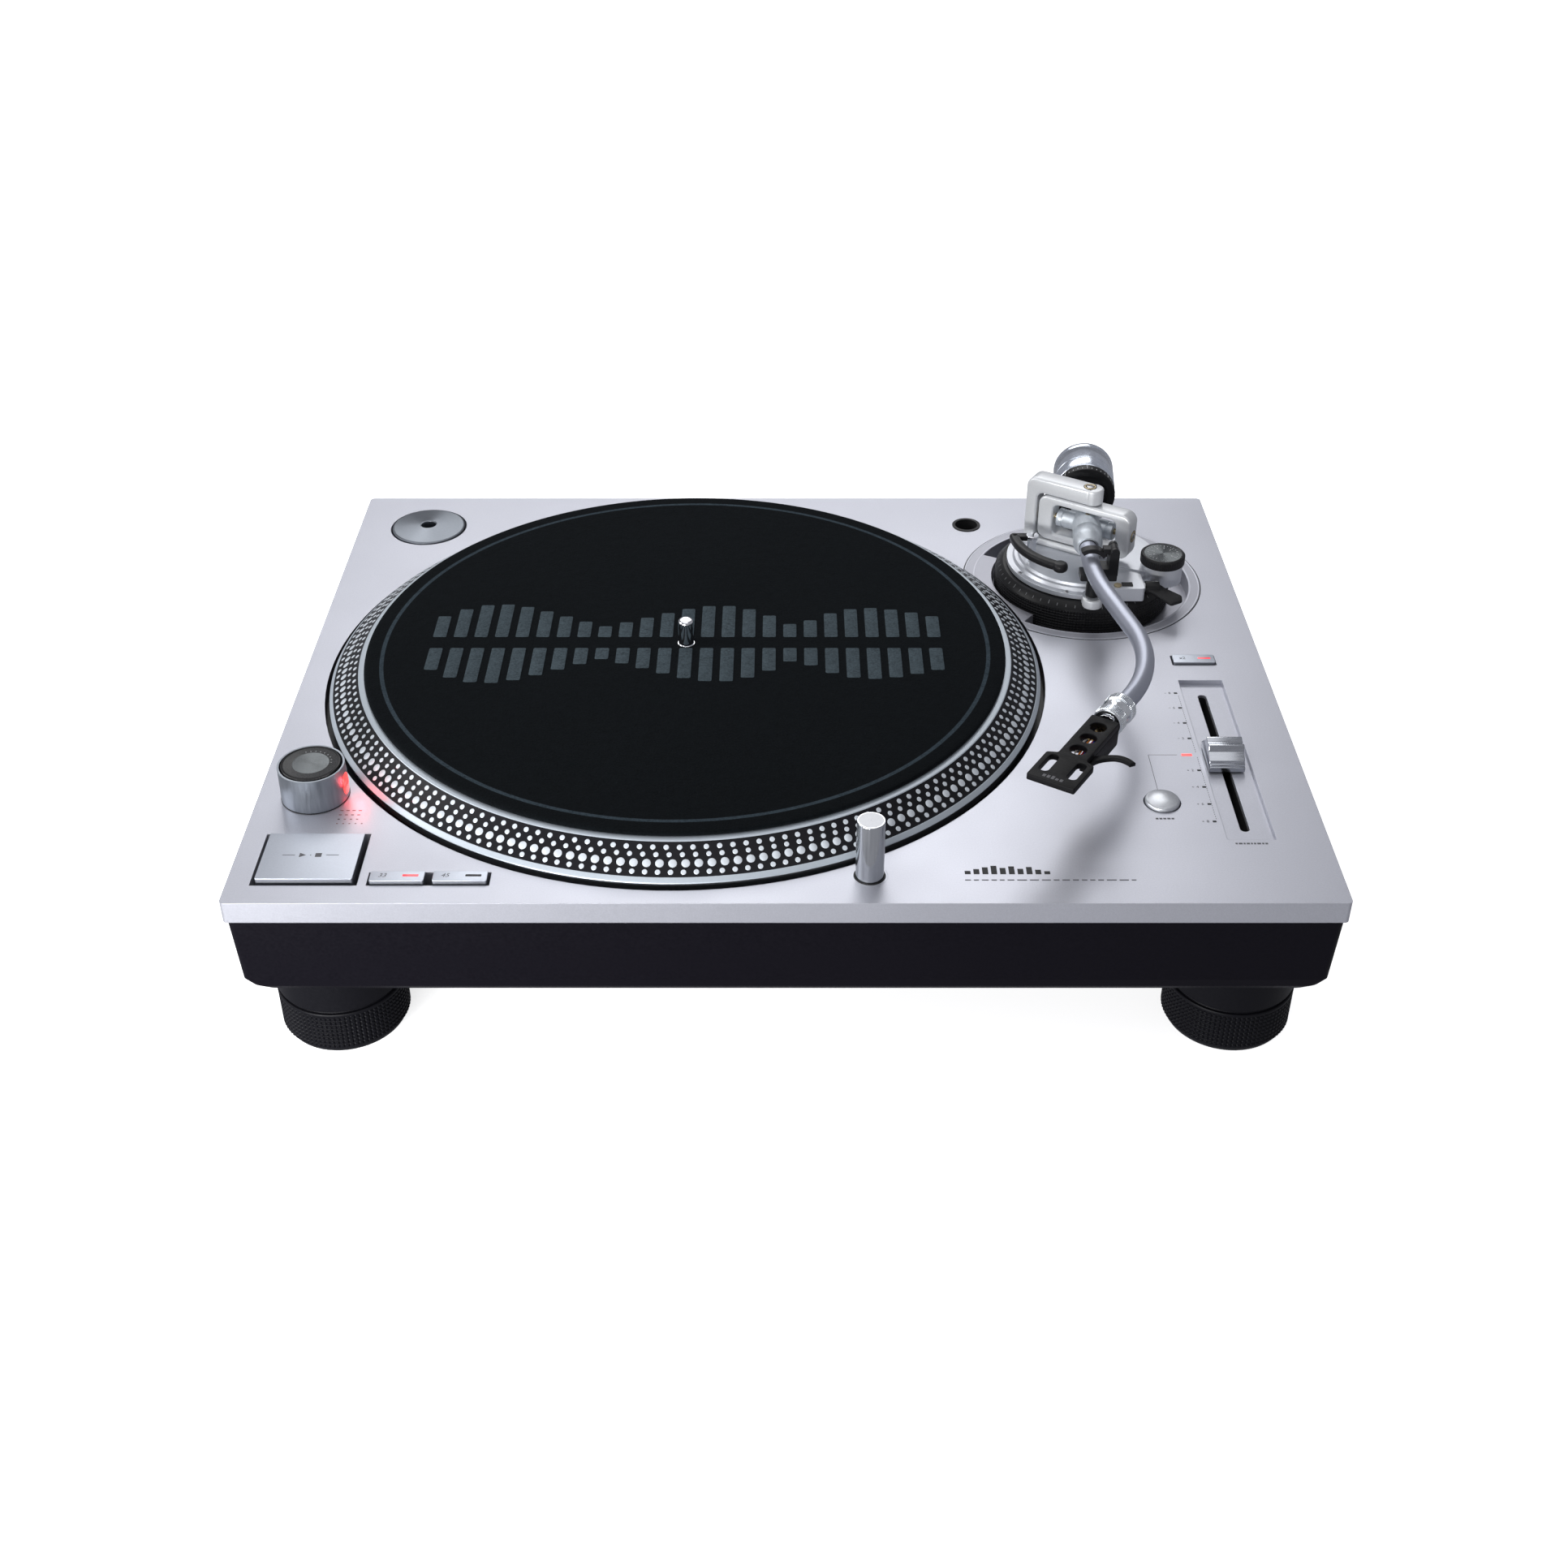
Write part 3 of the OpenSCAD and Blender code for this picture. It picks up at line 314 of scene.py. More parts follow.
class Shape:
    """Gathers faces, then becomes one piece."""

    def __init__(self):
        self.verts, self.faces, self.marks = [], [], []

    def put(self, verts, faces, mark=0, at=None):
        base = len(self.verts)
        at = at or Matrix()
        self.verts += [at @ Vector(v) for v in verts]
        self.faces += [[base + k for k in f] for f in faces]
        self.marks += mark if isinstance(mark, list) else [mark] * len(faces)
        return self

    def lathe(self, profile, mark=0, at=None, n=96, ring=False, wave=None, sweep=None):
        """Turns (r, z) points round Z. mark may be a list, one for each stretch of the profile.
        wave(a, i) adds to the radius at angle a of point i."""
        verts, faces, marks = [], [], []
        full = sweep is None
        a0, a1 = (0.0, tau) if full else (radians(sweep[0]), radians(sweep[1]))
        cols = n if full else n + 1
        for i, (r, z) in enumerate(profile):
            for k in range(cols):
                a = a0 + (a1 - a0) * k / n
                rr = r + (wave(a, i) if wave else 0)
                verts.append((rr * cos(a), rr * sin(a), z))
        rows = len(profile)
        for i in range(rows if ring else rows - 1):
            j = (i + 1) % rows
            for k in range(n):
                kk = (k + 1) % cols
                faces.append([i * cols + k, i * cols + kk, j * cols + kk, j * cols + k])
            marks += [mark[i] if isinstance(mark, list) else mark] * n
        if not full and ring:
            faces.append([i * cols for i in range(rows)])
            faces.append([i * cols + n for i in range(rows)])
            marks += [marks[0]] * 2
        return self.put(verts, faces, marks, at)

    def turned(self, points, radius, steps, mark=0, at=None, n=64, **more):
        """Turns (r, z) points whose corners are rounded, first and last apart."""
        return self.lathe(fillet(points, radius, steps, closed=False), mark, at, n, **more)

    def hoop(self, r0, z0, r1, z1, radius, steps, mark=0, at=None, n=64, **more):
        """A ring whose section is a rounded rectangle."""
        return self.lathe(fillet(box_outline(r0, z0, r1, z1), radius, steps), mark, at, n, ring=True, **more)

    def take(self, curve, mark, at):
        """Adds the mesh of a curve, and clears the curve away."""
        holder = bpy.data.objects.new("curve", curve)
        mesh = bpy.data.meshes.new_from_object(holder)
        self.put([v.co for v in mesh.vertices], [list(p.vertices) for p in mesh.polygons], mark, at)
        bpy.data.objects.remove(holder)
        bpy.data.curves.remove(curve)
        bpy.data.meshes.remove(mesh)
        return self

    def plate(self, outlines, z0, z1, edge=0.3, mark=0, at=None, round_steps=2):
        """A flat plate with holes and rounded edges: the first outline is the outer one."""
        curve = bpy.data.curves.new("outline", "CURVE")
        curve.dimensions = "2D"
        curve.fill_mode = "BOTH"
        for outline in outlines:
            spline = curve.splines.new("POLY")
            spline.points.add(len(outline) - 1)
            for point, (x, y) in zip(spline.points, outline):
                point.co = (x, y, 0, 1)
            spline.use_cyclic_u = True
        edge = min(edge, (z1 - z0) / 2 - 1e-4)
        curve.extrude = (z1 - z0) / 2 - edge
        curve.bevel_depth = edge
        curve.bevel_resolution = round_steps
        curve.offset = -edge
        return self.take(curve, mark, (at or Matrix()) @ move(0, 0, (z0 + z1) / 2))

    def block(self, x0, y0, z0, x1, y1, z1, edge=0.3, corner=0.4, mark=0, at=None):
        return self.plate([fillet(box_outline(x0, y0, x1, y1), corner, 4)], z0, z1, edge, mark, at)

    def stamp(self, outline, mark, z=0.0, sunk=0.0):
        """A flat printed mark on a face at z."""
        return self.plate([outline], z - sunk, z + INK_HIGH, INK_EDGE, mark)

    def bar(self, points, r, n, mark):
        """A round bar of radius r along points, which never run straight up."""
        pts = [Vector(p) for p in points]
        count = len(pts)
        verts, faces = [], []
        for i, p in enumerate(pts):
            way = (pts[min(i + 1, count - 1)] - pts[max(i - 1, 0)]).normalized()
            side = way.cross(Vector((0, 0, 1))).normalized()
            top = side.cross(way).normalized()
            for k in range(n):
                a = tau * k / n
                verts.append(p + side * (r * cos(a)) + top * (r * sin(a)))
        for i in range(count - 1):
            for k in range(n):
                kk = (k + 1) % n
                faces.append([i * n + k, i * n + kk, (i + 1) * n + kk, (i + 1) * n + k])
        faces += [list(range(n)), [(count - 1) * n + k for k in range(n)]]
        return self.put(verts, faces, mark)

    def text(self, body, size, place, mark, shear=0.0, turned=0.0):
        """Digits whose middle is at place."""
        curve = bpy.data.curves.new("digits", "FONT")
        curve.body = body
        curve.size = size
        curve.shear = shear
        curve.align_x = "CENTER"
        curve.align_y = "CENTER"
        curve.extrude = 0.02
        return self.take(curve, mark, move(*place) @ turn(turned))

    def piece(
        self, name, body, materials, replaces=(), slot=None, sharp=35, place=(0, 0, 0), turned=0, tip=0, weld=True
    ):
        """Makes the piece at place, tipped about X and then turned about Z, riding on body."""
        mesh = bpy.data.meshes.new(name)
        mesh.from_pydata([tuple(v * mm) for v in self.verts], [], self.faces)
        for p, mark in zip(mesh.polygons, self.marks):
            p.material_index = mark
        work = bmesh.new()
        work.from_mesh(mesh)
        if weld:
            bmesh.ops.remove_doubles(work, verts=work.verts, dist=0.0008 * mm)
        bmesh.ops.dissolve_degenerate(work, edges=work.edges, dist=0.0004 * mm)
        bmesh.ops.recalc_face_normals(work, faces=work.faces)
        work.to_mesh(mesh)
        work.free()
        mesh.shade_smooth()
        mesh.set_sharp_from_angle(angle=radians(sharp))
        for m in materials if isinstance(materials, (list, tuple)) else [materials]:
            mesh.materials.append(m)
        obj = add_object(name, mesh)
        obj.location = Vector(place) * mm + Vector((0, 0, deck))
        obj.rotation_euler = (radians(tip), 0, radians(turned))
        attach(obj, body)
        if replaces:
            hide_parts(*([replaces] if isinstance(replaces, str) else replaces))
        return obj


def local(v):
    """A place given in metres in the row frame, as this file's millimetres."""
    return (v.x / mm, v.y / mm, (v.z - deck) / mm)


at_spindle = middle("spindle_shaft")
at_pivot = middle("height_ring")
px, py, _ = at_pivot
low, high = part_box("ring_pivots")
at_axis = (px, py, local((low + high) / 2)[2])

# ---- platter

top_z = 12.5
slope_high, slope_low = (151.75, top_z - 0.35), (164.15, 3.45)
profile = [
    (6, top_z), (148.2, top_z), (148.6, top_z + 0.02), (151.3, top_z), (151.5, top_z - 0.05), slope_high,
    slope_low, (164.2, 3.5), (164.35, 3.48), (165.0, 2.85), (165.7, 2.1), (165.95, 1.8), (166.0, 1.5), (165.95, 1.4),
    (165.0, 0.5), (164.6, 0.2), (164.4, -4), (158, -4), (157, 2), (146.6, 8.5), (14, 8.5), (14, 4.5), (6, 4.5),
]
marks = [0] * 5 + [1] + [0] * 7 + [2] * 10
ring_metal = surface("platter_ring", (0.46, 0.51, 0.56), 0.45, 0.4, grain=900, grain_amount=0.03, bump=0.01, edge=0)
slope_black = surface(
    "platter_slope", (0.006, 0.006, 0.008), 0.42, grain=900, bump=0.12, edge=0, Specular_IOR_Level=0.2,
)
rim_side = surface("platter_side", (0.17, 0.18, 0.20), 0.38, 0.75, grain=700, bump=0.02, edge=0)
# near-black colour for the recess lining: painted shade for the gap under the platter's rim
recess_painted_shade = surface("platter_well_painted_shade", (0.010, 0.010, 0.013), 0.45, 0.0, grain=700, bump=0.05, edge=0)
Shape().lathe(profile, marks, n=360, ring=True).piece(
    "platter_body", "platter", [ring_metal, slope_black, rim_side], replaces="platter", slot="platter_metal",
    place=at_spindle,
)

dots = Shape()
tilt = atan2(slope_high[1] - slope_low[1], slope_low[0] - slope_high[0])
sides = 14
for r, size, count in ((153.7, 1.15, 178), (156.25, 1.1, 183), (159.3, 1.8, 189), (162.35, 1.15, 195)):
    z = slope_high[1] - (r - slope_high[0]) * tan(tilt)
    for i in range(count):
        at = turn(360 * i / count + 2.0 * size) @ move(r, 0, z) @ turn(degrees(tilt), "Y")
        rim = [(*p, -0.02) for p in circle(size, sides)]
        mid = [(*p, 0.10) for p in circle(size * 0.86, sides)]
        faces = [[k, (k + 1) % sides, sides + (k + 1) % sides, sides + k] for k in range(sides)]
        faces.append(list(range(sides, 2 * sides)))
        dots.put(rim + mid, faces, 0, at)
dot_metal = surface("strobe_dots", (0.62, 0.665, 0.71), 0.45, 0.3, grain=900, bump=0.03, edge=0)
dots.piece("strobe_dots", "platter", dot_metal, slot="platter_metal", place=at_spindle, weld=False)

# a near-black sheet lining the platter's recess, floor and wall: painted shade in the gap between platter and deck
well = Shape().lathe([(60, -6.95), (168.22, -6.95), (168.22, -0.03)], 0, n=240)
well.piece("platter_well_painted_shade", "plinth", recess_painted_shade, slot="inner_black", place=at_spindle)

# ---- slipmat

mat_low, mat_high = 12.55, 14.6


def felt_material(name, colour):
    n = Nodes(name)
    s = n.shader
    place = n.coords()
    fibre, clump, slow = n.noise(place, 900, 6, 0.75), n.noise(place, 220, 4, 0.7), n.noise(place, 22, 3, 0.5)
    tone = n.mix(n.span(fibre, 0, 1, 0.35, 0.65), shade(colour, 0.55), shade(colour, 1.5))
    tone = n.mix(n.math("MULTIPLY", n.span(clump, 0, 1, 0.35, 0.65), 0.45), tone, shade(colour, 1.7))
    tone = n.mix(n.math("MULTIPLY", n.span(slow, 0, 1), 0.25), tone, shade(colour, 0.7))
    n.link(tone, s.inputs["Base Color"])
    for key, value in (("Roughness", 0.9), ("Specular IOR Level", 0.03), ("Sheen Weight", 0.04),
                       ("Sheen Roughness", 0.5), ("Sheen Tint", (0.55, 0.65, 0.72, 1))):
        s.inputs[key].default_value = value
    height = n.math("ADD", fibre, n.math("MULTIPLY", clump, 1.2))
    n.link(n.bump(height, 0.7, 0.35 * mm), s.inputs["Normal"])
    return n.material


felt = felt_material("felt_black", (0.0028, 0.0036, 0.0044))
felt_print = felt_material("felt_print", (0.050, 0.066, 0.076))
felt_ring = felt_material("felt_ring", (0.030, 0.042, 0.052))

ring_line = 140.0  # the pale ring runs from here to the next radius
rings = [4.1, 5, 10, 25, 45, 65, 85, 105, 120, 130, 136, 139.9, ring_line, 141.9]
rings += [142.0, 144.5, 146.5, 147.9, 148.5, 148.85, 149.0]
drop = [0.1] + [0] * 16 + [0.05, 0.2, 0.55, 1.0]
upper = [(r, mat_high - d) for r, d in zip(rings, drop)]
profile = upper + [(148.8, mat_low + 0.3), (148.2, mat_low), (4.1, mat_low)]
mat = Shape().lathe(profile, [int(r == ring_line) for r, z in profile], n=240, ring=True)
waves = [(rng.uniform(0, tau), rng.randint(2, 9), rng.uniform(0.01, 0.04)) for _ in range(6)]


def lie_uneven(shape):
    for v in shape.verts:
        r, a = hypot(v.x, v.y), atan2(v.y, v.x)
        if v.z > mat_low + 0.4:
            v.z += sum(h * sin(k * a + p) for p, k, h in waves) * (r / 150) ** 2


lie_uneven(mat)
mat_piece = mat.piece(
    "slipmat_felt", "slipmat", [felt, felt_ring], replaces="slipmat", slot="felt", sharp=60, place=at_spindle,
)

meter = Shape()
bars, apart, half_wide, gap = 25, 9.7, 3.1, 5.0
for side in (1, -1):
    for i in range(bars):
        x = (i - (bars - 1) / 2) * apart
        t = i / (bars - 1)
        tall = 34 * (0.28 + 0.72 * abs(sin(2.6 * pi * t + 0.4)) * (0.75 + 0.25 * cos(9 * t)))
        low, high = sorted((side * gap, side * (gap + tall)))
        outline = fillet(box_outline(x - half_wide, low, x + half_wide, high), 0.8, 3)
        meter.plate([outline], mat_high + 0.02, mat_high + 0.16, 0.04)
lie_uneven(meter)
meter_piece = meter.piece("slipmat_meter", "slipmat", felt_print, slot="felt", place=at_spindle)

# ---- feet


def foot(node):
    cols, rows = 84, 8
    low, high = 3.0, 20.6  # of the knurled band
    profile = [(0.5, 0), (24.8, 0), (26.0, 0.25), (26.6, 1.2), (27.2, 2.4)]
    marks = [1, 1, 0, 0]
    step = (high - low) / rows
    teeth = []
    for j in range(rows):
        z = low + j * step
        teeth += [len(profile) + 1, len(profile) + 2]
        profile += [(27.35, z + share * step) for share in (0.06, 0.24, 0.76, 0.94)]
    profile += [(27.4, high + 0.1), (28.0, high + 0.3), (28.0, high + 1.2), (27.7, high + 1.7), (26.6, high + 1.8),
                (26.3, high + 3.0), (27.4, high + 3.2), (27.7, high + 3.6), (27.7, 47.6), (27.2, 48.0), (5.2, 48.0)]
    profile = [(r, z - DECK_UP) for r, z in profile]
    marks += [0] * (len(profile) - len(marks))
    shape = Shape().lathe(profile, marks, move(*middle(node)), cols * 4, wave=knurl(teeth, cols, 0.62))
    shape.piece(node + "_knurled", node, [rubber, matt_black], replaces=node, slot="foot_rubber", sharp=30)


for node in ("foot_front_left", "foot_front_right", "foot_rear_left", "foot_rear_right"):
    foot(node)

# ---- adapter and power knob

spun = surface(
    "spun_aluminium", (0.235, 0.255, 0.285), 0.38, 1.0, grain=900, bump=0.02, edge=0.15 * mm, spin="Z",
    Anisotropic=0.75,
)
knob_ink = print_ink("knob_ink", (0.28, 0.29, 0.30))
knurl_black = surface("knurl_black", (0.018, 0.019, 0.020), 0.42, grain=2600, grain_amount=0.4, bump=0.6, edge=0)
spun_black = surface(
    "spun_black", (0.09, 0.098, 0.102), 0.24, 1.0, grain=900, bump=0.02, edge=0, spin="Z", Anisotropic=0.85,
)
spun_bright = surface(
    "spun_bright", (0.62, 0.64, 0.67), 0.34, 0.9, grain=900, bump=0.02, edge=0, spin="Z", Anisotropic=0.6,
)
white_ink = print_ink("white_ink", (0.62, 0.63, 0.65))
grey_ink = print_ink("grey_ink", (0.10, 0.10, 0.11))
black_ink = print_ink("black_ink", (0.010, 0.010, 0.012))

dished = [(19.0 - 0.18 * i, 0.75 + 0.0135 * i + (0.018 if i % 2 else 0)) for i in range(4, 82)]
profile = fillet([(3.75, -6.4), (19, -6.4), (19, 0.35), (18.4, 0.72)], 0.3, 3, closed=False)
Shape().lathe(profile + dished + [(4.35, 1.72), (3.9, 1.5), (3.75, 1.1)], n=160, ring=True).piece(
    "adapter_spun", "adapter", spun, replaces="adapter_45", slot="adapter_metal", place=middle("adapter_45")
)

kx, ky, _ = middle("power_knob")
at_knob = move(kx, ky)
knob = Shape()
ribs = 120
profile = [(3, -18), (3, 11.2), (12.6, 11.2), (12.9, 11.6), (12.9, 16.2), (12.6, 16.75), (11.9, 16.95), (11.7, 16.7)]
knob.lathe(
    profile, 0, at_knob, ribs * 2, wave=lambda a, i: -0.28 * (round(a / tau * ribs * 2) % 2) if 3 <= i <= 6 else 0
)
knob.lathe([(11.7, 16.7), (11.5, 16.62), (7.9, 16.62), (7.8, 16.58)], 3, n=160, at=at_knob)
disc = [(7.8, 16.58)] + grooves(7.75, 0.12, 16.58, 0.016, 64) + [(0.1, 16.58)]
knob.lathe(disc, 1, n=160, at=at_knob)
for k in range(9):
    at = at_knob @ turn(-88 + 14 * k) @ move(0, 8.7)
    knob.plate([box_outline(-0.22, -0.3, 0.22, 0.3)], 16.66, 16.72, 0.01, 2, at)
knob.piece(
    "power_knob_spun", "power_knob", [black, spun_black, knob_ink, knurl_black], replaces="power_knob",
    slot="knob_black",
)

# the strobe lamp's lens, wrapped round the housing on the platter's side
lens = Shape()
verts, faces = [], []
cols = 40
half_angle, toward, half_tall, mid_z = 12, -7, 5.0, 7.4
for k in range(cols + 1):
    t = 2 * k / cols - 1
    a = radians(half_angle * t + toward)
    tall = half_tall * (1 - min(0.9999, abs(t)) ** 3) ** (1 / 3)
    for r, share in ((14.2, -1), (14.62, -0.97), (14.72, 0), (14.62, 0.97), (14.2, 1)):
        verts.append((r * cos(a), r * sin(a), mid_z + tall * share))
for k in range(cols):
    faces += [[5 * k + j, 5 * k + 5 + j, 5 * k + 6 + j, 5 * k + 1 + j] for j in range(4)]
lens.put(verts, faces, 0, at_knob)
lens.lathe([(14.1, 3.9), (14.51, 4.0), (14.51, 11.6), (14.1, 11.7)], 1, n=40, at=at_knob, sweep=(3, 64))
lens.piece("strobe_lens", "plinth", [red_light, side_metal], replaces="strobe_window", slot="red_window", sharp=80)

section = fillet([(13.6, 15.6), (14.25, 15.6), (14.15, 16.3), (13.6, 16.3)], 0.2, 4)
rim = Shape().lathe(section, 0, at_knob, 128, ring=True)
for z in (0.02, 0.3):
    rim.hoop(14.35, z, 14.62, z + 0.16, 0.06, 2, 1, n=96, at=at_knob)
rim.piece("strobe_rim", "plinth", [side_metal, black], slot="silver_cap")

# ---- push keys

# a darker copy of the key metal for the keys' side faces: painted shade from the recess round each key
key_side_painted_shade = surface("key_side_painted_shade", (0.20, 0.21, 0.24), 0.45, 0.8, grain=1400, bump=0.05, edge=0)
key_metal = surface(
    "key_metal", (0.50, 0.53, 0.59), 0.42, 0.75, grain=1400, grain_amount=0.05, bump=0.06, edge=0.1 * mm,
)


def key(node, stem):
    """A key's cap with its stem below, and the cap's outline and top."""
    low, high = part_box(node)
    (x0, y0, _), (x1, y1, top) = local(low), local(high)
    shape = Shape()
    outline = fillet(box_outline(x0, y0, x1, y1), 0.6, 4)
    shape.plate([outline], -6.5, top, 0.22, 0, round_steps=3)
    # faces that run up and down take material 2, the darker copy: painted shade on the keys' sides
    for i, f in enumerate(shape.faces):
        heights = [shape.verts[k].z for k in f]
        if max(heights) - min(heights) > 1:
            shape.marks[i] = 2
    shape.lathe([(stem, -13.5), (stem, -6.4), (0.01, -6.4)], 0, n=24, at=move((x0 + x1) / 2, (y0 + y1) / 2))
    return shape, (x0, y0, x1, y1, top)


def lamp(x0, x1, y, half, top):
    """The indicator bar set into a key."""
    outline = fillet(box_outline(x0, y - half, x1, y + half), 0.3, 3)
    return Shape().plate([outline], top - 0.3, top + 0.05, 0.04)


def bars_row(shape, x0, y, x1, tall, seed, unit):
    """A row of short plain bars, which says nothing."""
    pick = random.Random(seed)
    x = x0
    while x < x1 - 0.3 * unit:
        w = min(unit * pick.uniform(0.7, 1.6), x1 - x)
        shape.stamp(box_outline(x, y - tall / 2, x + w, y + tall / 2), 1, sunk=INK_SUNK)
        x += w + 0.45 * unit


shape, (x0, y0, x1, y1, top) = key("start_stop_button", 4)
mx, my = (x0 + x1) / 2, -147.2
play = [(mx - 4.6, my - 1.5), (mx - 1.9, my), (mx - 4.6, my + 1.5)]
stop = box_outline(mx + 1.9, my - 1.3, mx + 4.5, my + 1.3)
lines = [box_outline(mx + s * 9 - 2.6, my - 0.2, mx + s * 9 + 2.6, my + 0.2) for s in (-1, 1)]
for outline in (play, circle(0.3, 10, (mx, my)), stop, *lines):
    shape.stamp(outline, 1, top, INK_SUNK)
key_paints = [key_metal, grey_ink, key_side_painted_shade]
shape.piece("start_key", "start_stop", key_paints, replaces="start_stop_button", slot="silver_cap")

for digits, on in (("33", True), ("45", False)):
    node, body = "speed_button_" + digits, "speed_" + digits
    shape, (x0, y0, x1, y1, top) = key(node, 2)
    my = (y0 + y1) / 2 + 0.3
    shape.text(digits, 3.4, (x0 + 4.9, my, top + 0.01), 1, shear=0.25)
    shape.piece(node + "_cap", body, key_paints, replaces=node, slot="silver_cap")
    lamp(x1 - 8.9, x1 - 2.4, my, 0.68, top).piece(
        node + "_lamp", body, lamp_light if on else black, slot="red_window" if on else "knob_black"
    )

shape, (x0, y0, x1, y1, top) = key("double_speed_button", 2)
my = (y0 + y1) / 2 + 0.2
shape.text("x2", 3.0, (x0 + 4.6, my, top + 0.01), 1)
shape.piece("double_key", "double_speed", key_paints, replaces="double_speed_button", slot="silver_cap")
lamp(x1 - 7.9, x1 - 1.9, my, 0.6, top).piece("double_lamp", "double_speed", lamp_light, slot="red_window")

dome = [(2, -13.5), (2, -6.5), (7.3, -6.5), (7.4, -6.2), (7.4, 1.0), (7.2, 1.45), (6.9, 1.65)]
for i in range(34):
    r = 6.8 - 0.2 * i
    dome.append((r, 1.72 + 0.62 * (1 - (r / 6.8) ** 2) + (0.01 if i % 2 else 0)))
Shape().lathe(dome + [(0.05, 2.36)]).piece(
    "reset_dome", "reset", spun_bright, replaces="reset_button", slot="silver_cap", place=middle("reset_button")
)

# ---- printing on the deck

printing = Shape()
places = [-21.1, -33.6, -46.2, -58.7, -83.7, -96.3, -108.9, -121.4]
for y, digit in zip(places, ("8", "6", "4", "2", "2", "4", "6", "8")):
    printing.stamp(box_outline(180.1, y - 0.62, 181.7, y + 0.62), 0)
    printing.text(digit, 2.3, (178.1, y, 0.01), 1)
    if y < -70:
        printing.stamp(box_outline(175.6, y - 0.11, 176.6, y + 0.11), 1)
        printing.stamp(box_outline(175.99, y - 0.5, 176.21, y + 0.5), 1)
    else:
        printing.stamp(box_outline(175.7, y - 0.11, 176.6, y + 0.11), 1)
y = -23.7
while y > -119.5:
    if abs(y + 71.8) > 1.4:
        printing.stamp(box_outline(181.75, y - 0.42, 182.0, y + 0.42), 1)
    y -= 1.57
printing.stamp(box_outline(160.5, -71.9, 173.2, -71.65), 1)
printing.stamp(box_outline(160.35, -98.6, 160.6, -71.65), 1)
bars_row(printing, 156.4, -119.4, 164.2, 1.1, 5, 0.9)
bars_row(printing, 186.8, -136.9, 200.3, 1.1, 8, 1.0)
for i in range(4):
    for k in range(4 if i else 5):
        x, y = -189.4 + 2.6 * k, -123.2 + 3.1 * i
        printing.stamp(box_outline(x, y, x + 0.7 + 0.25 * i, y + 0.6), 0 if (i, k) == (1, 0) else 2)
tall = [2.2, 3.4, 4.6, 5.6, 4.2, 5.2, 3.6, 4.8, 3.0, 2.0]
for i, t in enumerate(tall):
    printing.stamp(box_outline(72.8 + 3.6 * i, -157.6, 75.2 + 3.6 * i, -157.6 + t), 0)
bars_row(printing, 72.6, -161.4, 142.0, 0.7, 4, 2.6)
red_ink = print_ink("red_grey_ink", (0.22, 0.12, 0.12))
printing.piece("deck_printing", "plinth", [black_ink, grey_ink, red_ink], slot="inner_black", weld=False)

# ---- fader cap, target light

fx, fy, _ = middle("pitch_fader_cap")
half = [
    (-10.5, -1.4, 0), (-10.5, 0.9, 0.3), (-9.7, 0.95, 0.1), (-9.7, 1.7, 0.3), (-8.6, 1.8, 0.1), (-8.3, 3.0, 0.4),
    (-4.4, 5.4, 2.0), (-3.5, 8.0, 0.5), (-2.6, 8.0, 0.4),
]
outline = fillet(half + [(0, 6.9, 2.2)] + [(-y, z, r) for y, z, r in reversed(half)], 0.3, 4)
cap = Shape().plate([outline], -7.8, 7.8, 0.3, 0, move(fx, fy) @ ACROSS, 3)
cap.block(fx - 1.2, fy - 2.6, -12, fx + 1.2, fy + 2.6, -1.3, 0.2, 0.3, 1)
cap_metal = surface("fader_metal", (0.50, 0.52, 0.56), 0.2, 1.0, grain=900, stretch=(0.15, 1, 1), bump=0.04, edge=0)
cap.piece("pitch_cap", "pitch_fader", [cap_metal, matt_black], replaces="pitch_fader_cap", slot="chrome")

light = Shape().turned([(0.1, -20), (5.8, -20), (5.8, 28.0), (5.1, 28.0)], 0.6, 4, 0, n=72)
light.lathe([(5.1, 28.0)] + grooves(5.0, 0.1, 28.0, -0.012, 50), 1, n=72)
light.lathe([(1.6, 0), (1.6, 0.3), (1.3, 0.39), (0.8, 0.47), (0.1, 0.52)], 2, move(0, 5.31, 21) @ ALONG_Y, 32)
light_metal = surface(
    "target_metal", (0.60, 0.62, 0.65), 0.20, 1.0, grain=700, stretch=(1, 1, 0.05), bump=0.03, edge=0
)
light_top = surface("target_top", (0.46, 0.47, 0.49), 0.42, 0.8, edge=0)
glass = surface("lamp_glass", (0.85, 0.88, 0.9), 0.08, edge=0, bump=0)
light.piece(
    "target_body", "target_light", [light_metal, light_top, glass], replaces="target_light", slot="silver_cap",
    place=middle("target_light"),
)
Shape().hoop(5.8, -0.4, 7.45, 0.45, 0.2, 3).piece(
    "headshell_holder_lip", "plinth", black, slot="inner_black", place=middle("headshell_holder")
)
collar = Shape().hoop(5.86, -14, 6.5, 0.4, 0.15, 3, n=72).lathe([(6.5, 0.02), (7.5, 0.02), (7.5, -0.3)], 1, n=72)
collar.piece(
    "target_collar_ring", "plinth", [black, silver_deck], replaces="target_light_collar", slot="inner_black",
    place=middle("target_light_collar"),
)

# ---- tone arm


def screw(shape, at, r, head, slot, high=0.6, cross=True):
    """A screw head standing on z = 0 of at."""
    shape.turned([(0.02, 0), (r, 0), (r, high), (0.02, high + 0.12)], 0.15, 3, head, at, n=40)
    for angle in (0, 90) if cross else (0,):
        outline = box_outline(-r * 0.6, -r * 0.12, r * 0.6, r * 0.12)
        shape.plate([outline], high + 0.06, high + 0.16, 0.01, slot, at @ turn(angle + 20))


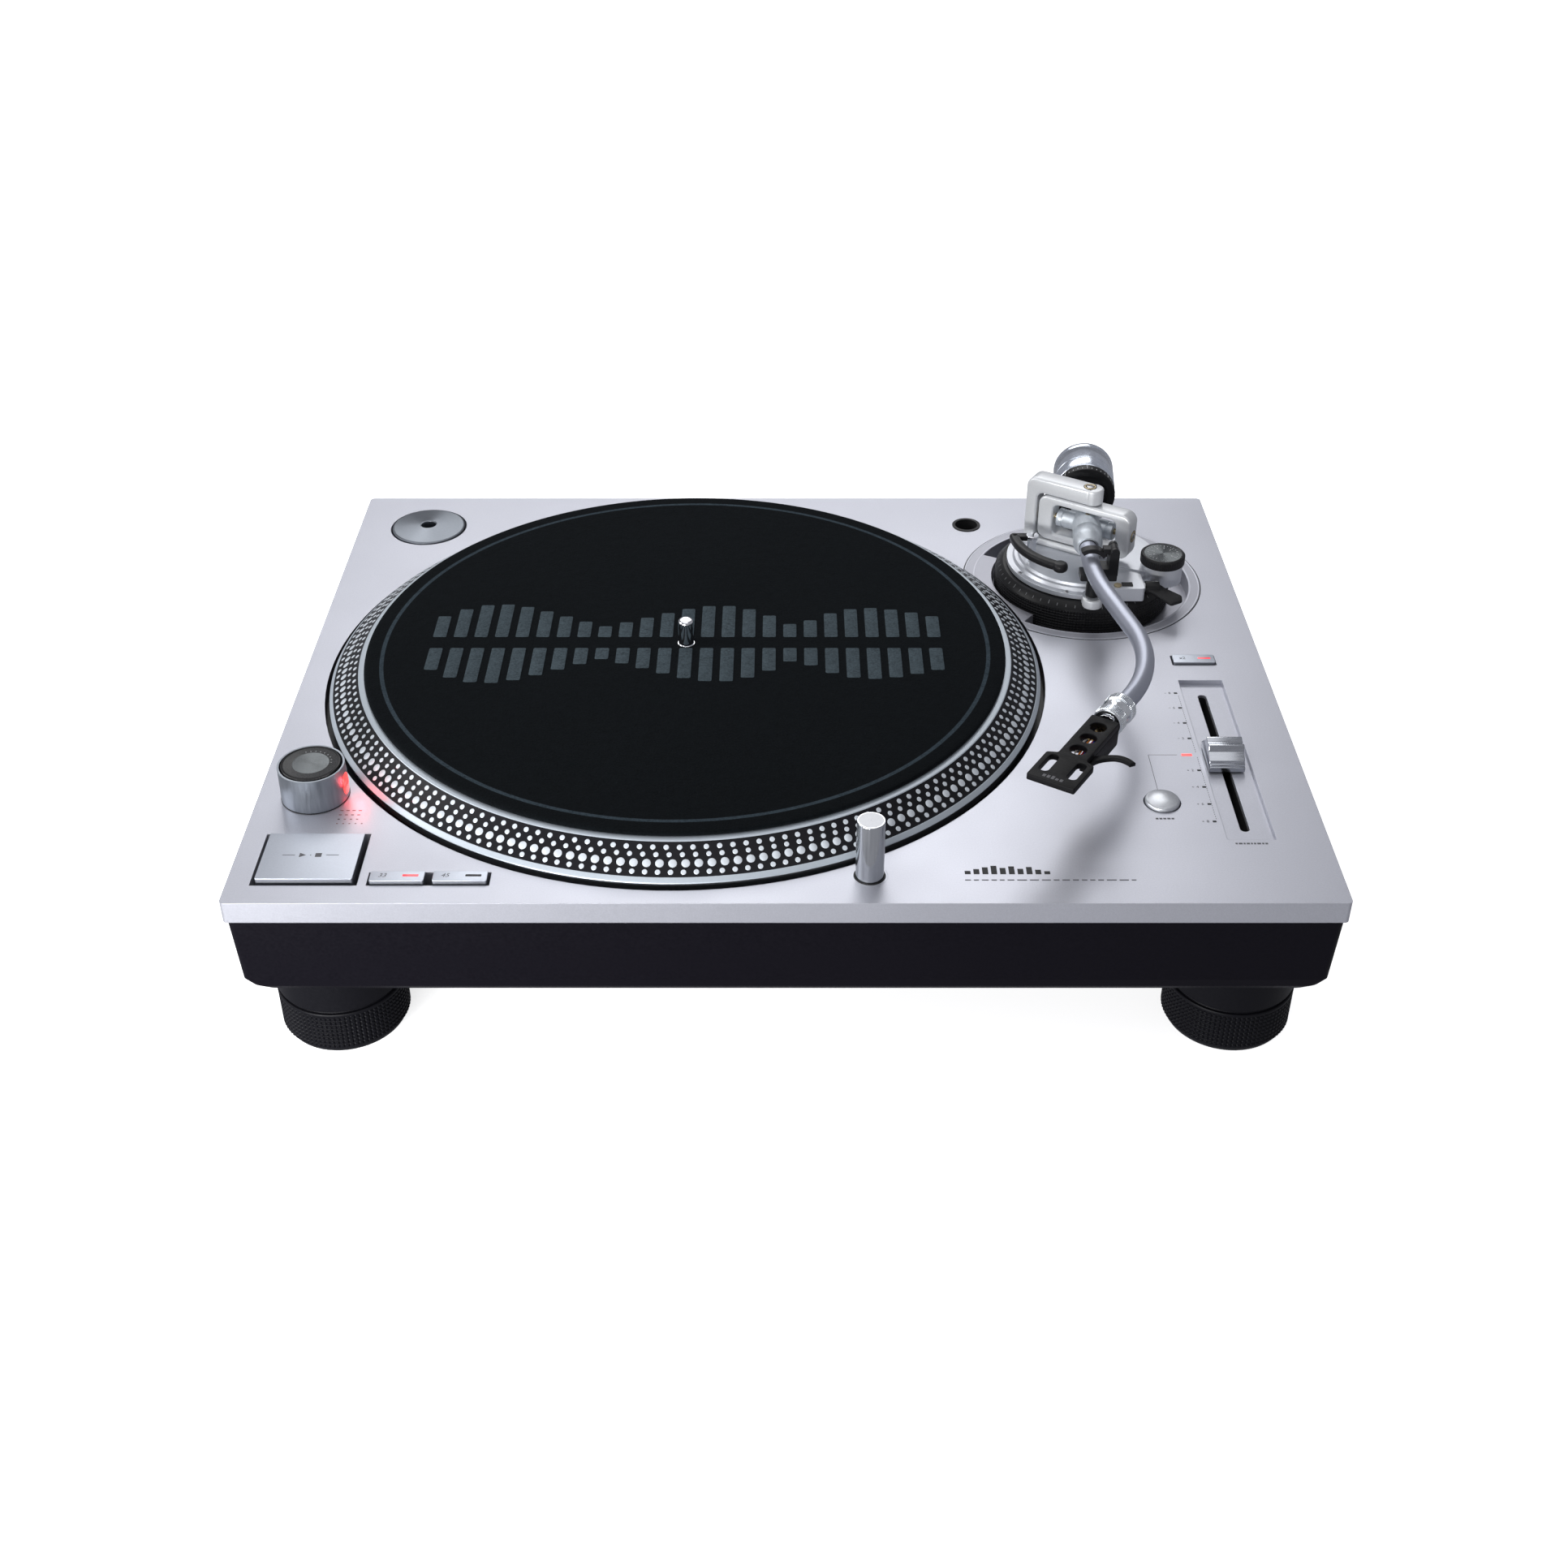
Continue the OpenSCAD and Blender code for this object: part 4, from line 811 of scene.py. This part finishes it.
cast = surface(
    "cast_white_silver", (0.66, 0.675, 0.695), 0.34, 0.35, grain=1400, grain_amount=0.03, bump=0.05, blotch=0.01,
    edge=0,
)
cast_bright = surface(
    "turned_bright", (0.58, 0.62, 0.66), 0.42, 0.75, grain=900, stretch=(1, 0.3, 1), bump=0.01, edge=0,
)
weight_metal = surface("polished_weight", (0.72, 0.77, 0.86), 0.24, 1.0, grain=300, bump=0.01, edge=0)
nut_metal = surface("nut_chrome", (0.80, 0.83, 0.86), 0.14, 1.0, grain=400, bump=0.03, edge=0)
shell_paint = surface(
    "shell_paint", (0.005, 0.005, 0.0058), 0.48, grain=900, bump=0.35, edge=0.15 * mm, Specular_IOR_Level=0.12,
)

# height ring
cols = 180
profile = [(36.3, -7), (43.7, -7), (43.7, -6.4)]
teeth = []
for j in range(8):
    teeth += [len(profile) + 1, len(profile) + 2]
    profile += [(43.55, -6.3 + 1.5 * j + share * 1.5) for share in (0.05, 0.25, 0.75, 0.95)]
profile += [(43.9, 5.8), (43.8, 6.2), (40.7, 9.2), (40.3, 9.5), (36.3, 9.5)]
ring = Shape().lathe(profile, 0, n=cols * 4, ring=True, wave=knurl(teeth, cols, 0.4))
for k in range(60):
    long = k % 5 == 0
    at = turn(6 * k) @ move(42.1, 0, 7.86) @ turn(45.5, "Y")
    ring.plate([box_outline(-1.1 if long else -0.5, -0.1, 0.9, 0.1)], 0.0, 0.05, 0.01, 1, at)
ring.piece(
    "height_ring_knurled", "height_ring", [black, knob_ink], replaces="height_ring", slot="knob_black",
    place=at_pivot,
)

# the step round the arm's plate and the lip of its well, which the platter's recess cuts
trim = Shape()
trim.lathe([(59.52, 0.03), (60.05, 0.03)], 0, n=160, sweep=(237.2, 530.2))
trim.turned([(58.6, 0.28), (58.6, 0.36), (59.5, 0.36), (59.5, 0.1)], 0.05, 2, 1, n=160, sweep=(237.4, 530.0))
trim.lathe([(53.95, 0.2), (54.15, 0.36), (54.9, 0.36), (54.9, 0.28)], 1, n=160, sweep=(230.4, 537.0))
trim.piece("arm_plate_trim", "plinth", [matt_black, silver_deck], slot="silver_cap", place=at_pivot)

# base details
bits = Shape()
for a in (205, 250, 340, 60):
    screw(bits, turn(a) @ move(37.0, 0, 12.4), 1.1, 0, 2, 0.25)
bits.lathe([(0.02, 16.8), (1.9, 16.8), (1.9, 17.3), (0.02, 17.4)], 1, move(12.0, -36.2), n=32)
bits.block(14.0, -37.2, 16.8, 19.4, -33.4, 17.1, 0.1, 0.2, 2)
bits.turned([(0.02, 0), (2.4, 0), (2.4, 1.4), (0.02, 1.4)], 0.3, 3, 3, move(25.0, -32.5, 13.6) @ ALONG_X, n=32)
bits.lathe([(2.55, 14.45), (3.8, 14.45), (3.8, 15.0), (2.55, 15.1)], 3, move(-27, -2), n=48, ring=True)
bits.turned([(0.02, 9.8), (4.9, 9.8), (4.9, 14.1), (3.6, 14.44)], 0.4, 4, 3, move(-1, -43.4), n=64)
bits.piece("arm_base_bits", "arm_base", [steel, brass, matt_black, cast], slot="pivot_steel", place=at_pivot)

# lift arc with its round end
lift = Shape()
arc = (184, 243)
lift.hoop(33.5, 23.0, 38.3, 27.0, 1.3, 4, n=72, sweep=arc)
start, end = ((36 * cos(radians(a)), 36 * sin(radians(a))) for a in arc)
lift.turned([(0.02, 22.6), (3.7, 22.6), (3.7, 27.2), (0.02, 27.2)], 1.8, 6, 0, move(*end), n=48)
lift.turned([(0.02, 23.0), (2.4, 23.0), (2.4, 27.0), (0.02, 27.0)], 1.2, 5, 0, move(*start), n=40)
lift.block(-37, -4.2, 23.95, -25.4, 0.2, 26.5, 0.5, 1.0, 0)
lift.turned([(2.5, -4), (2.5, 24.2), (3.3, 24.2), (3.3, 26.5), (0.02, 26.6)], 0.4, 3, 1, move(-27, -2), n=48)
lift.piece(
    "lift_arc", "lift_platform", [black, chrome], replaces="lift_platform", slot="knob_black", place=at_pivot,
    sharp=40,
)

# cue lever
lever = Shape()
lever.lathe([(1.6, 16), (1.6, 28)], 1, ALONG_X, n=32)
lever.turned([(1.0, 26), (3.2, 26), (3.2, 33), (1.0, 33)], 0.5, 3, 0, ALONG_X, n=48)
outline = fillet(
    [(26.8, 1.8, 1), (33.4, 1.8, 1), (36.2, -1.2, 4), (43.4, -6.4, 2.0), (43.2, -10.2, 1.6), (37.4, -12.6, 2.0),
     (30.4, -5.6, 4), (26.8, -2.4, 1)], 1, 5
)
lever.plate([outline], -1.1, 0.9, 0.7, 0, turn(14, "X"), 4)
lever.piece(
    "cue_lever_paddle", "cue_lever", [black, chrome], replaces="cue_lever", slot="knob_black",
    place=(px, py - 32.5, 13.6), sharp=40,
)

# anti-skating disc
knob = Shape()
n = 72
profile = [
    (3, -6.8), (3, 0.3), (10.35, 0.3), (10.35, -0.9), (10.6, -1.0), (10.65, -0.7), (10.65, 3.2), (10.2, 3.8),
    (9.5, 3.9), (9.2, 3.72),
]
knob.lathe(profile, 0, n=n * 4, wave=knurl((5, 6), n, 0.25))
knob.lathe(grooves(9.2, 0.1, 3.72, 0.014, 92), 1, n=120)
for k in range(22):
    knob.plate([box_outline(6.9 if k % 3 else 6.2, -0.09, 7.8, 0.09)], 3.72, 3.77, 0.01, 2, turn(-40 + 13 * k))
for k, digit in enumerate("0123456"):
    a = -40 + 39 * k
    knob.text(digit, 1.7, (5.0 * cos(radians(a)), 5.0 * sin(radians(a)), 3.75), 2, turned=a - 90)
knob.piece(
    "anti_skate_spun", "anti_skate", [black, spun_black, white_ink], replaces="anti_skate_knob", slot="knob_black",
    place=(px + 36.5, py - 16.5, 20.3),
)

# yoke and ring, in the turned frame of the pivots
yoke = Shape()
outline = fillet(
    [(9, -16, 1.0), (9, -12.6, 1.2), (-26, -12.6, 3.5), (-26, 12.6, 3.5), (2, 12.6, 0), (2, 20.5, 0),
     (-32, 20.5, 5.5), (-32, -16, 1.0)], 1, 8
)
yoke.plate([outline], -5, 5, 1.3, 0, UPRIGHT, 4)
yoke.turned([(0.02, 20.5), (5.0, 20.5), (5.0, 12.6), (0.02, 12.6)], 0.9, 5, 0, move(2, 0), n=64)
yoke.block(-31.8, -6.6, -16, -24.4, 6.6, -13.6, 0.5, 2.2, 0)
screw(yoke, move(-28.1, -5.2, -14.8) @ BACKWARD, 1.2, 1, 2, 0.4)
screw(yoke, move(5.6, 0, -12.6), 1.5, 1, 2, 0.4)
yoke.piece(
    "yoke_cast", "arm_base", [cast, steel, matt_black], replaces="gimbal_yoke", slot="arm_metal", place=at_axis,
    turned=SHELL_TURN, sharp=50,
)

pins = Shape()
pins.lathe([(1.5, 9.4), (1.5, 18.1)], 0, n=32)
pins.lathe([(1.5, -16), (1.5, -9.4)], 0, n=32)
pins.lathe([(0.02, 20.53), (3.3, 20.53), (3.3, 20.45)], 2, n=48)
pins.hoop(2.15, 20.4, 2.95, 20.78, 0.15, 3, 0, n=48)
screw(pins, move(0, 0, 20.5), 1.75, 1, 2, 0.3, cross=False)
pins.piece(
    "yoke_bearing_screw", "arm_base", [brass, steel, matt_black], replaces="yoke_pivots", slot="pivot_steel",
    place=at_axis, turned=SHELL_TURN,
)

ring = Shape()
outer = fillet(box_outline(-25, -12, 25, 12), 5.2, 8)
inner = fillet(box_outline(-17, -7.9, 17, 7.9), 3.0, 6)
ring.plate([outer, inner], -4.5, 4.5, 1.3, 0, UPRIGHT, 4)
for a in (0, 180):
    ring.turned([(1.6, 11.8), (1.6, 12.35), (3.2, 12.35), (3.2, 11.6)], 0.2, 3, 1, turn(a, "X"), n=40)
ring.piece(
    "gimbal_ring_cast", "gimbal", [cast, steel], replaces="gimbal_ring", slot="arm_metal", place=at_axis,
    turned=SHELL_TURN, sharp=50,
)

pins = Shape()
for s in (90, -90):
    pins.lathe([(1.5, 11.5), (1.5, 23.2)], 0, turn(s, "Y"), n=32)
    pins.lathe([(0.02, 25.03), (3.1, 25.03), (3.1, 24.9)], 1, turn(s, "Y"), n=48)
    pins.hoop(1.95, 24.9, 2.75, 25.3, 0.15, 3, 0, turn(s, "Y"), n=48)
    screw(pins, turn(s, "Y") @ move(0, 0, 25.0), 1.6, 2, 1, 0.3, cross=False)
pins.piece(
    "ring_bearing_screws", "gimbal", [brass, matt_black, steel], replaces="ring_pivots", slot="pivot_steel",
    place=at_axis, turned=SHELL_TURN,
)

# housing: the arm's own frame, y backward
housing = Shape()
profile = [
    (4.3, 25.0), (5.3, 25.0), (5.6, 24.7), (7.15, 20.2), (7.25, 19.6), (7.25, 12.0), (7.05, 11.7), (7.05, 11.2),
    (7.25, 10.9), (7.25, -17.2), (7.0, -17.5), (7.0, -18.0), (7.2, -18.3), (7.0, -19), (4.5, -19.2),
]
housing.lathe(profile, 0, BACKWARD, n=96)
shaft = [(4.5, 19)]
y = 20.0
while y < 64.5:
    shaft += [(4.5, y), (4.32, y + 0.25), (4.5, y + 0.5)]
    y += 0.75
shaft += [(4.4, 65.8), (4.1, 66), (0.02, 66)]
housing.lathe(shaft, 1, ALONG_Y, n=64)
cross = turn(-26.5)
stub = [(4.6, 0), (4.6, 11.4), (4.2, 11.4), (4.2, 12.2), (4.6, 12.2), (4.6, 15), (1.55, 15)]
for s in (90, -90):
    housing.turned(stub, 0.25, 2, 0, cross @ turn(s, "Y"), n=64)
screw(housing, move(0, -3.0, 7.0), 1.3, 2, 3, 0.3)
housing.lathe([(4.2, 24.99), (4.35, 24.99), (4.35, 25.6), (4.25, 25.7)], 3, BACKWARD, n=64)
housing.piece(
    "housing_turned", "arm", [cast_bright, steel, brass, matt_black], replaces="arm_housing", slot="arm_metal",
    place=at_axis, turned=ARM_TURN,
)

# counterweight and its dial
weight = Shape()
profile = [
    (4.8, 36.6), (9.5, 36.3), (14.2, 35.9), (14.9, 36.2), (15.4, 37.0), (15.4, 44.8), (15.25, 45.0), (15.25, 45.4),
    (15.4, 45.6), (15.4, 57.0), (15.2, 57.3), (15.2, 57.7), (15.4, 58.0), (15.4, 60.8), (15.0, 61.6), (14.4, 61.9),
    (12.4, 61.9), (11.8, 61.2), (5.4, 60.9), (4.8, 60.9),
]
weight.lathe(profile, 0, n=160, ring=True)
weight.piece(
    "counterweight_polished", "counterweight", weight_metal, replaces="counterweight", slot="chrome", place=at_axis,
    turned=ARM_TURN, tip=-90,
)
dial = Shape()
n = 90
profile = [
    (4.8, 33.0), (4.8, 31.6), (11.2, 31.4), (11.4, 30.2), (14.2, 30.0), (15.1, 30.5), (15.3, 31.2), (15.3, 35.2),
    (15.0, 35.6), (4.8, 35.6),
]
dial.lathe(profile, 0, n=n * 4, wave=knurl((7, 8), n, 0.1, 0.5, 1))
for k in range(40):
    dial.plate([box_outline(-0.13, 31.3, 0.13, 32.3 if k % 5 else 32.9)], 15.3, 15.42, 0.01, 1, turn(9 * k) @ ACROSS)
for k in range(8):
    spot = Shape().text("01234567"[k], 2.0, (0, 34.1, 15.36), 1)
    dial.put(spot.verts, spot.faces, 1, turn(45 * k) @ ACROSS)
dial.piece(
    "weight_dial_scale", "weight_dial", [black, white_ink], replaces="weight_dial", slot="knob_black",
    place=at_axis, turned=ARM_TURN, tip=-90,
)

# lock nut: z runs along the headshell's axis
joint = next(j for j in frame["record"]["behaviour"]["joints"] if j["name"] == "lock_nut_turn")
at_nut = local(Vector(joint["pos_m"]))
nut = Shape()
n = 60
profile = [
    (4.35, 9.0), (5.9, 9.0), (6.2, 9.2), (6.2, 10.0), (6.75, 10.1), (6.75, 13.7), (6.2, 13.9), (6.2, 14.6),
    (5.95, 15.0), (5.95, 18.4), (6.3, 18.8), (6.3, 19.2), (6.6, 19.4), (6.6, 23.6), (6.3, 24.0), (6.3, 24.6),
    (6.0, 25.0), (4.35, 25.0),
]
nut.lathe(profile, 0, n=n * 4, ring=True, wave=knurl((4, 5, 12, 13), n, 0.28, high=0.75))
nut.piece(
    "lock_nut_knurled", "lock_nut", nut_metal, replaces="lock_nut", slot="chrome", place=at_nut, turned=SHELL_TURN,
    tip=90,
)

# headshell, with y running back along its axis
shell = Shape()
half = [(6.4, -26.6, 0.6), (6.4, -59.8, 1.0), (10.7, -61.8, 1.4), (10.7, -80.9, 0.8)]
mirrored = [(-x, y, r) for x, y, r in reversed(half)]
outline = fillet(mirrored[-1:] + half + mirrored[:-1], 1, 5)
holes = [circle(3.55, 44, (0, -t)) for t in (34.4, 44.2, 54.0)]
holes += [fillet(box_outline(s * 6.2 - 2.1, -75.2, s * 6.2 + 2.1, -62.4), 2.09, 8) for s in (-1, 1)]
shell.plate([outline] + holes, 0.6, 3.4, 0.3, 0, None, 3)
side = fillet(
    [(-26.8, -7.6, 1.2), (-26.8, 0.7, 0.1), (-57.5, 0.7, 0.1), (-53.0, -0.4, 3.0), (-46.0, -4.0, 4.0),
     (-41.5, -7.6, 1.6)], 1, 5
)
for s in (-1, 1):
    shell.plate([side], -0.8, 0.8, 0.25, 0, move(s * 5.6) @ ACROSS)
shell.block(-4.9, -29.4, -6.6, 4.9, -26.8, 0.8, 0.3, 0.5, 0)
shell.lathe([(4.3, 16.3), (4.3, 25.7), (0.02, 25.7)], 1, BACKWARD, n=64)
for x, z in ((-1.7, -2.32), (1.7, -2.32), (-1.7, -0.28), (1.7, -0.28)):
    shell.lathe([(0.6, 28.5), (0.6, 32.5), (0.3, 32.9), (0.02, 32.9)], 2, move(x, 0, z) @ BACKWARD, n=16)
for k, t in enumerate((4.2, 4.6, 5.4, 3.4, 4.2)):
    x, y = -4.6 + 1.9 * k, -79.0
    shell.plate([box_outline(x, y, x + 1.3, y + t * 0.42)], 3.4, 3.44, 0.01, 3)
shell.piece(
    "headshell_plate", "headshell", [shell_paint, chrome, brass, grey_ink], replaces="headshell",
    slot="shell_black", place=at_nut, turned=SHELL_TURN,
)

wires = Shape()
for k, (x, drop_y) in enumerate(((-2.6, -58), (-0.9, -60), (0.9, -59), (2.6, -57))):
    points = []
    for i in range(19):
        t = i / 18
        y = -32.2 + (drop_y + 32.2) * t
        points.append((x * (0.72 + 0.35 * sin(3 * t + k)), y, -0.9 + 0.9 * sin(pi * t) - 1.6 * t * t))
    wires.bar(points, 0.42, 10, k)
    wires.bar([(x * 0.7, -30.6, -0.7), (x * 0.72, -34.5, -0.75), (x * 0.72, -38.4, -0.8)], 0.78, 10, 4)
tones = {
    "white": (0.7, 0.7, 0.68), "orange": (0.62, 0.20, 0.03), "red": (0.5, 0.02, 0.02), "blue": (0.03, 0.06, 0.35),
}
wire_paints = [surface("wire_" + tag, tone, 0.35, edge=0, bump=0) for tag, tone in tones.items()]
wires.piece("headshell_wires", "headshell", wire_paints + [gold], slot="jack_gold", place=at_nut, turned=SHELL_TURN)

# finger lift: a tongue under the plate, then a blade that curls away to the right
lift = Shape()
x0, y0, bend = 16.7, -58.0, 10.9  # the curl's middle and radius
inner, outer = [], []
bends = range(180, 58, -6)
for i, a in enumerate(bends):
    wide = 1.9 - 0.5 * i / len(bends)
    for side, r in ((outer, bend + wide), (inner, bend - wide)):
        side.append((x0 + r * cos(radians(a)), y0 + r * sin(radians(a))))
lift.plate([outer + inner[::-1]], -1.3, 0.58, 0.5, 0, None, 3)
lift.block(x0 - 12.2, y0 - 4.5, -0.6, x0 - 9.6, y0 + 6.5, 0.58, 0.2, 0.6, 0)
for v in lift.verts:
    if v.x > 14:
        v.z -= 0.010 * (v.x - 14) ** 2
    if v.x > 8:
        v.z += 0.10 * (v.x - 8) * min(1, (v.x - 8) / 6)
lift.piece(
    "finger_blade", "headshell", shell_paint, replaces="finger_lift", slot="shell_black", place=at_nut,
    turned=SHELL_TURN,
)

# ---- sockets in the rear bay

sockets = Shape()
seat = 159.6
for x, tag in ((-28, 3), (-10, 4)):
    at = move(x, seat, -29) @ ALONG_Y
    sockets.hoop(3.05, 1.0, 4.15, 9.0, 0.2, 3, 0, at, n=48)
    sockets.turned([(0.02, 0), (6.0, 0), (6.0, 1.2), (0.02, 1.2)], 0.2, 2, 0, at, n=6)
    sockets.hoop(4.2, 1.2, 5.2, 2.0, 0.15, 2, tag, at, n=48)
    sockets.lathe([(1.5, 5.0), (1.5, 7.4), (3.05, 7.4)], tag, at, n=40)
    sockets.lathe([(0.02, 5.0), (1.5, 5.0)], 2, at, n=24)
at = move(8, seat, -29) @ ALONG_Y
thread = [(2.0 - 0.15 * (i % 2), 0.25 * i) for i in range(31)]
sockets.lathe(thread + [(1.7, 7.8), (0.02, 8.0)], 1, at, n=32)
sockets.hoop(2.0, 2.0, 4.5, 6.0, 0.3, 3, 1, at, n=144, wave=knurl(range(4, 12), 36, 0.22, -1, 0.5))
outer = fillet(box_outline(25, -38, 51, -20), 1.5, 5)
inner = fillet(
    [(28, -35, 2.5), (48, -35, 2.5), (48, -25.5, 1.0), (45.5, -23, 1.0), (30.5, -23, 1.0), (28, -25.5, 1.0)], 1, 5,
)
sockets.plate([outer, inner], seat, seat + 10, 0.4, 2, UPRIGHT, 3)
sockets.plate([outer], seat, seat + 2, 0.2, 2, UPRIGHT)
for x, z in ((33, -30), (38, -27), (43, -30)):
    outline = fillet(box_outline(x - 0.9, z - 2.4, x + 0.9, z + 2.4), 0.4, 3)
    sockets.plate([outline], seat + 1, seat + 8, 0.3, 1, UPRIGHT)
ring_white, ring_red = surface("ring_white", (0.7, 0.7, 0.68)), surface("ring_red", (0.45, 0.02, 0.02))
sockets.piece(
    "rear_sockets", "plinth", [gold, steel, matt_black, ring_white, ring_red], replaces="jacks", slot="jack_gold"
)

# ---- camera, floor, light

camera = add_object("camera", bpy.data.cameras.new("camera"))
camera.data.lens = 44.59
camera.data.sensor_width = 36
camera.data.clip_start = 0.01
camera.location = (-0.76 * mm, -781.1 * mm, 584.1 * mm)
camera.rotation_euler = (radians(90 - 35.28), 0, 0)
bpy.context.scene.camera = camera

n = Nodes("pale_floor")
n.shader.inputs["Roughness"].default_value = 0.8
n.link(n.mix(n.noise(n.coords(), 3), (0.93, 0.93, 0.94), (0.96, 0.96, 0.97)), n.shader.inputs["Base Color"])
n.shader.inputs["Emission Color"].default_value = (1, 1, 1, 1)
n.shader.inputs["Emission Strength"].default_value = 0.75
mesh = bpy.data.meshes.new("floor")
grid = bmesh.new()
bmesh.ops.create_grid(grid, x_segments=2, y_segments=2, size=8)
grid.to_mesh(mesh)
grid.free()
floor = add_object("floor", mesh)
floor.data.materials.append(n.material)
floor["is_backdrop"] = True
floor.visible_diffuse = False
floor.visible_glossy = False

world = bpy.data.worlds.new("studio")
world.use_nodes = True
sky = world.node_tree.nodes["Background"].inputs
sky["Color"].default_value = (0.92, 0.93, 1.0, 1)
sky["Strength"].default_value = 0.33
bpy.context.scene.world = world
bpy.context.scene.view_settings.view_transform = "Standard"


def softbox(name, place, target, size, watts):
    data = bpy.data.lights.new(name, "AREA")
    data.shape = "RECTANGLE"
    data.size, data.size_y = size
    data.energy = watts
    box = add_object(name, data)
    box.location = place
    box.rotation_euler = (Vector(target) - Vector(place)).to_track_quat("-Z", "Y").to_euler()


softbox("overhead", (-0.2, -0.05, 1.7), (-0.05, 0, 0.1), (2.4, 1.6), 10)
softbox("rear_top", (-0.05, 1.15, 1.05), (0.0, -0.16, 0.1), (1.1, 0.5), 6.0)
softbox("left", (-1.3, -0.1, 0.6), (0, 0, 0.1), (0.7, 0.7), 6.3)
softbox("front_left", (-0.30, -0.75, 0.14), (-0.13, -0.17, 0.09), (0.4, 0.12), 4.4)
softbox("kicker", (-0.42, -0.52, 0.10), (-0.22, -0.17, 0.085), (0.2, 0.12), 1.7)

data = bpy.data.lights.new("strobe_glow", "POINT")
data.energy = 0.0028
data.color = (1.0, 0.04, 0.05)
data.shadow_soft_size = 0.002
glow = add_object("strobe_glow", data)
glow.location = Vector((kx + 19.0, ky - 1.0, 5.6)) * mm + Vector((0, 0, deck))

# ---- end

low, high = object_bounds()
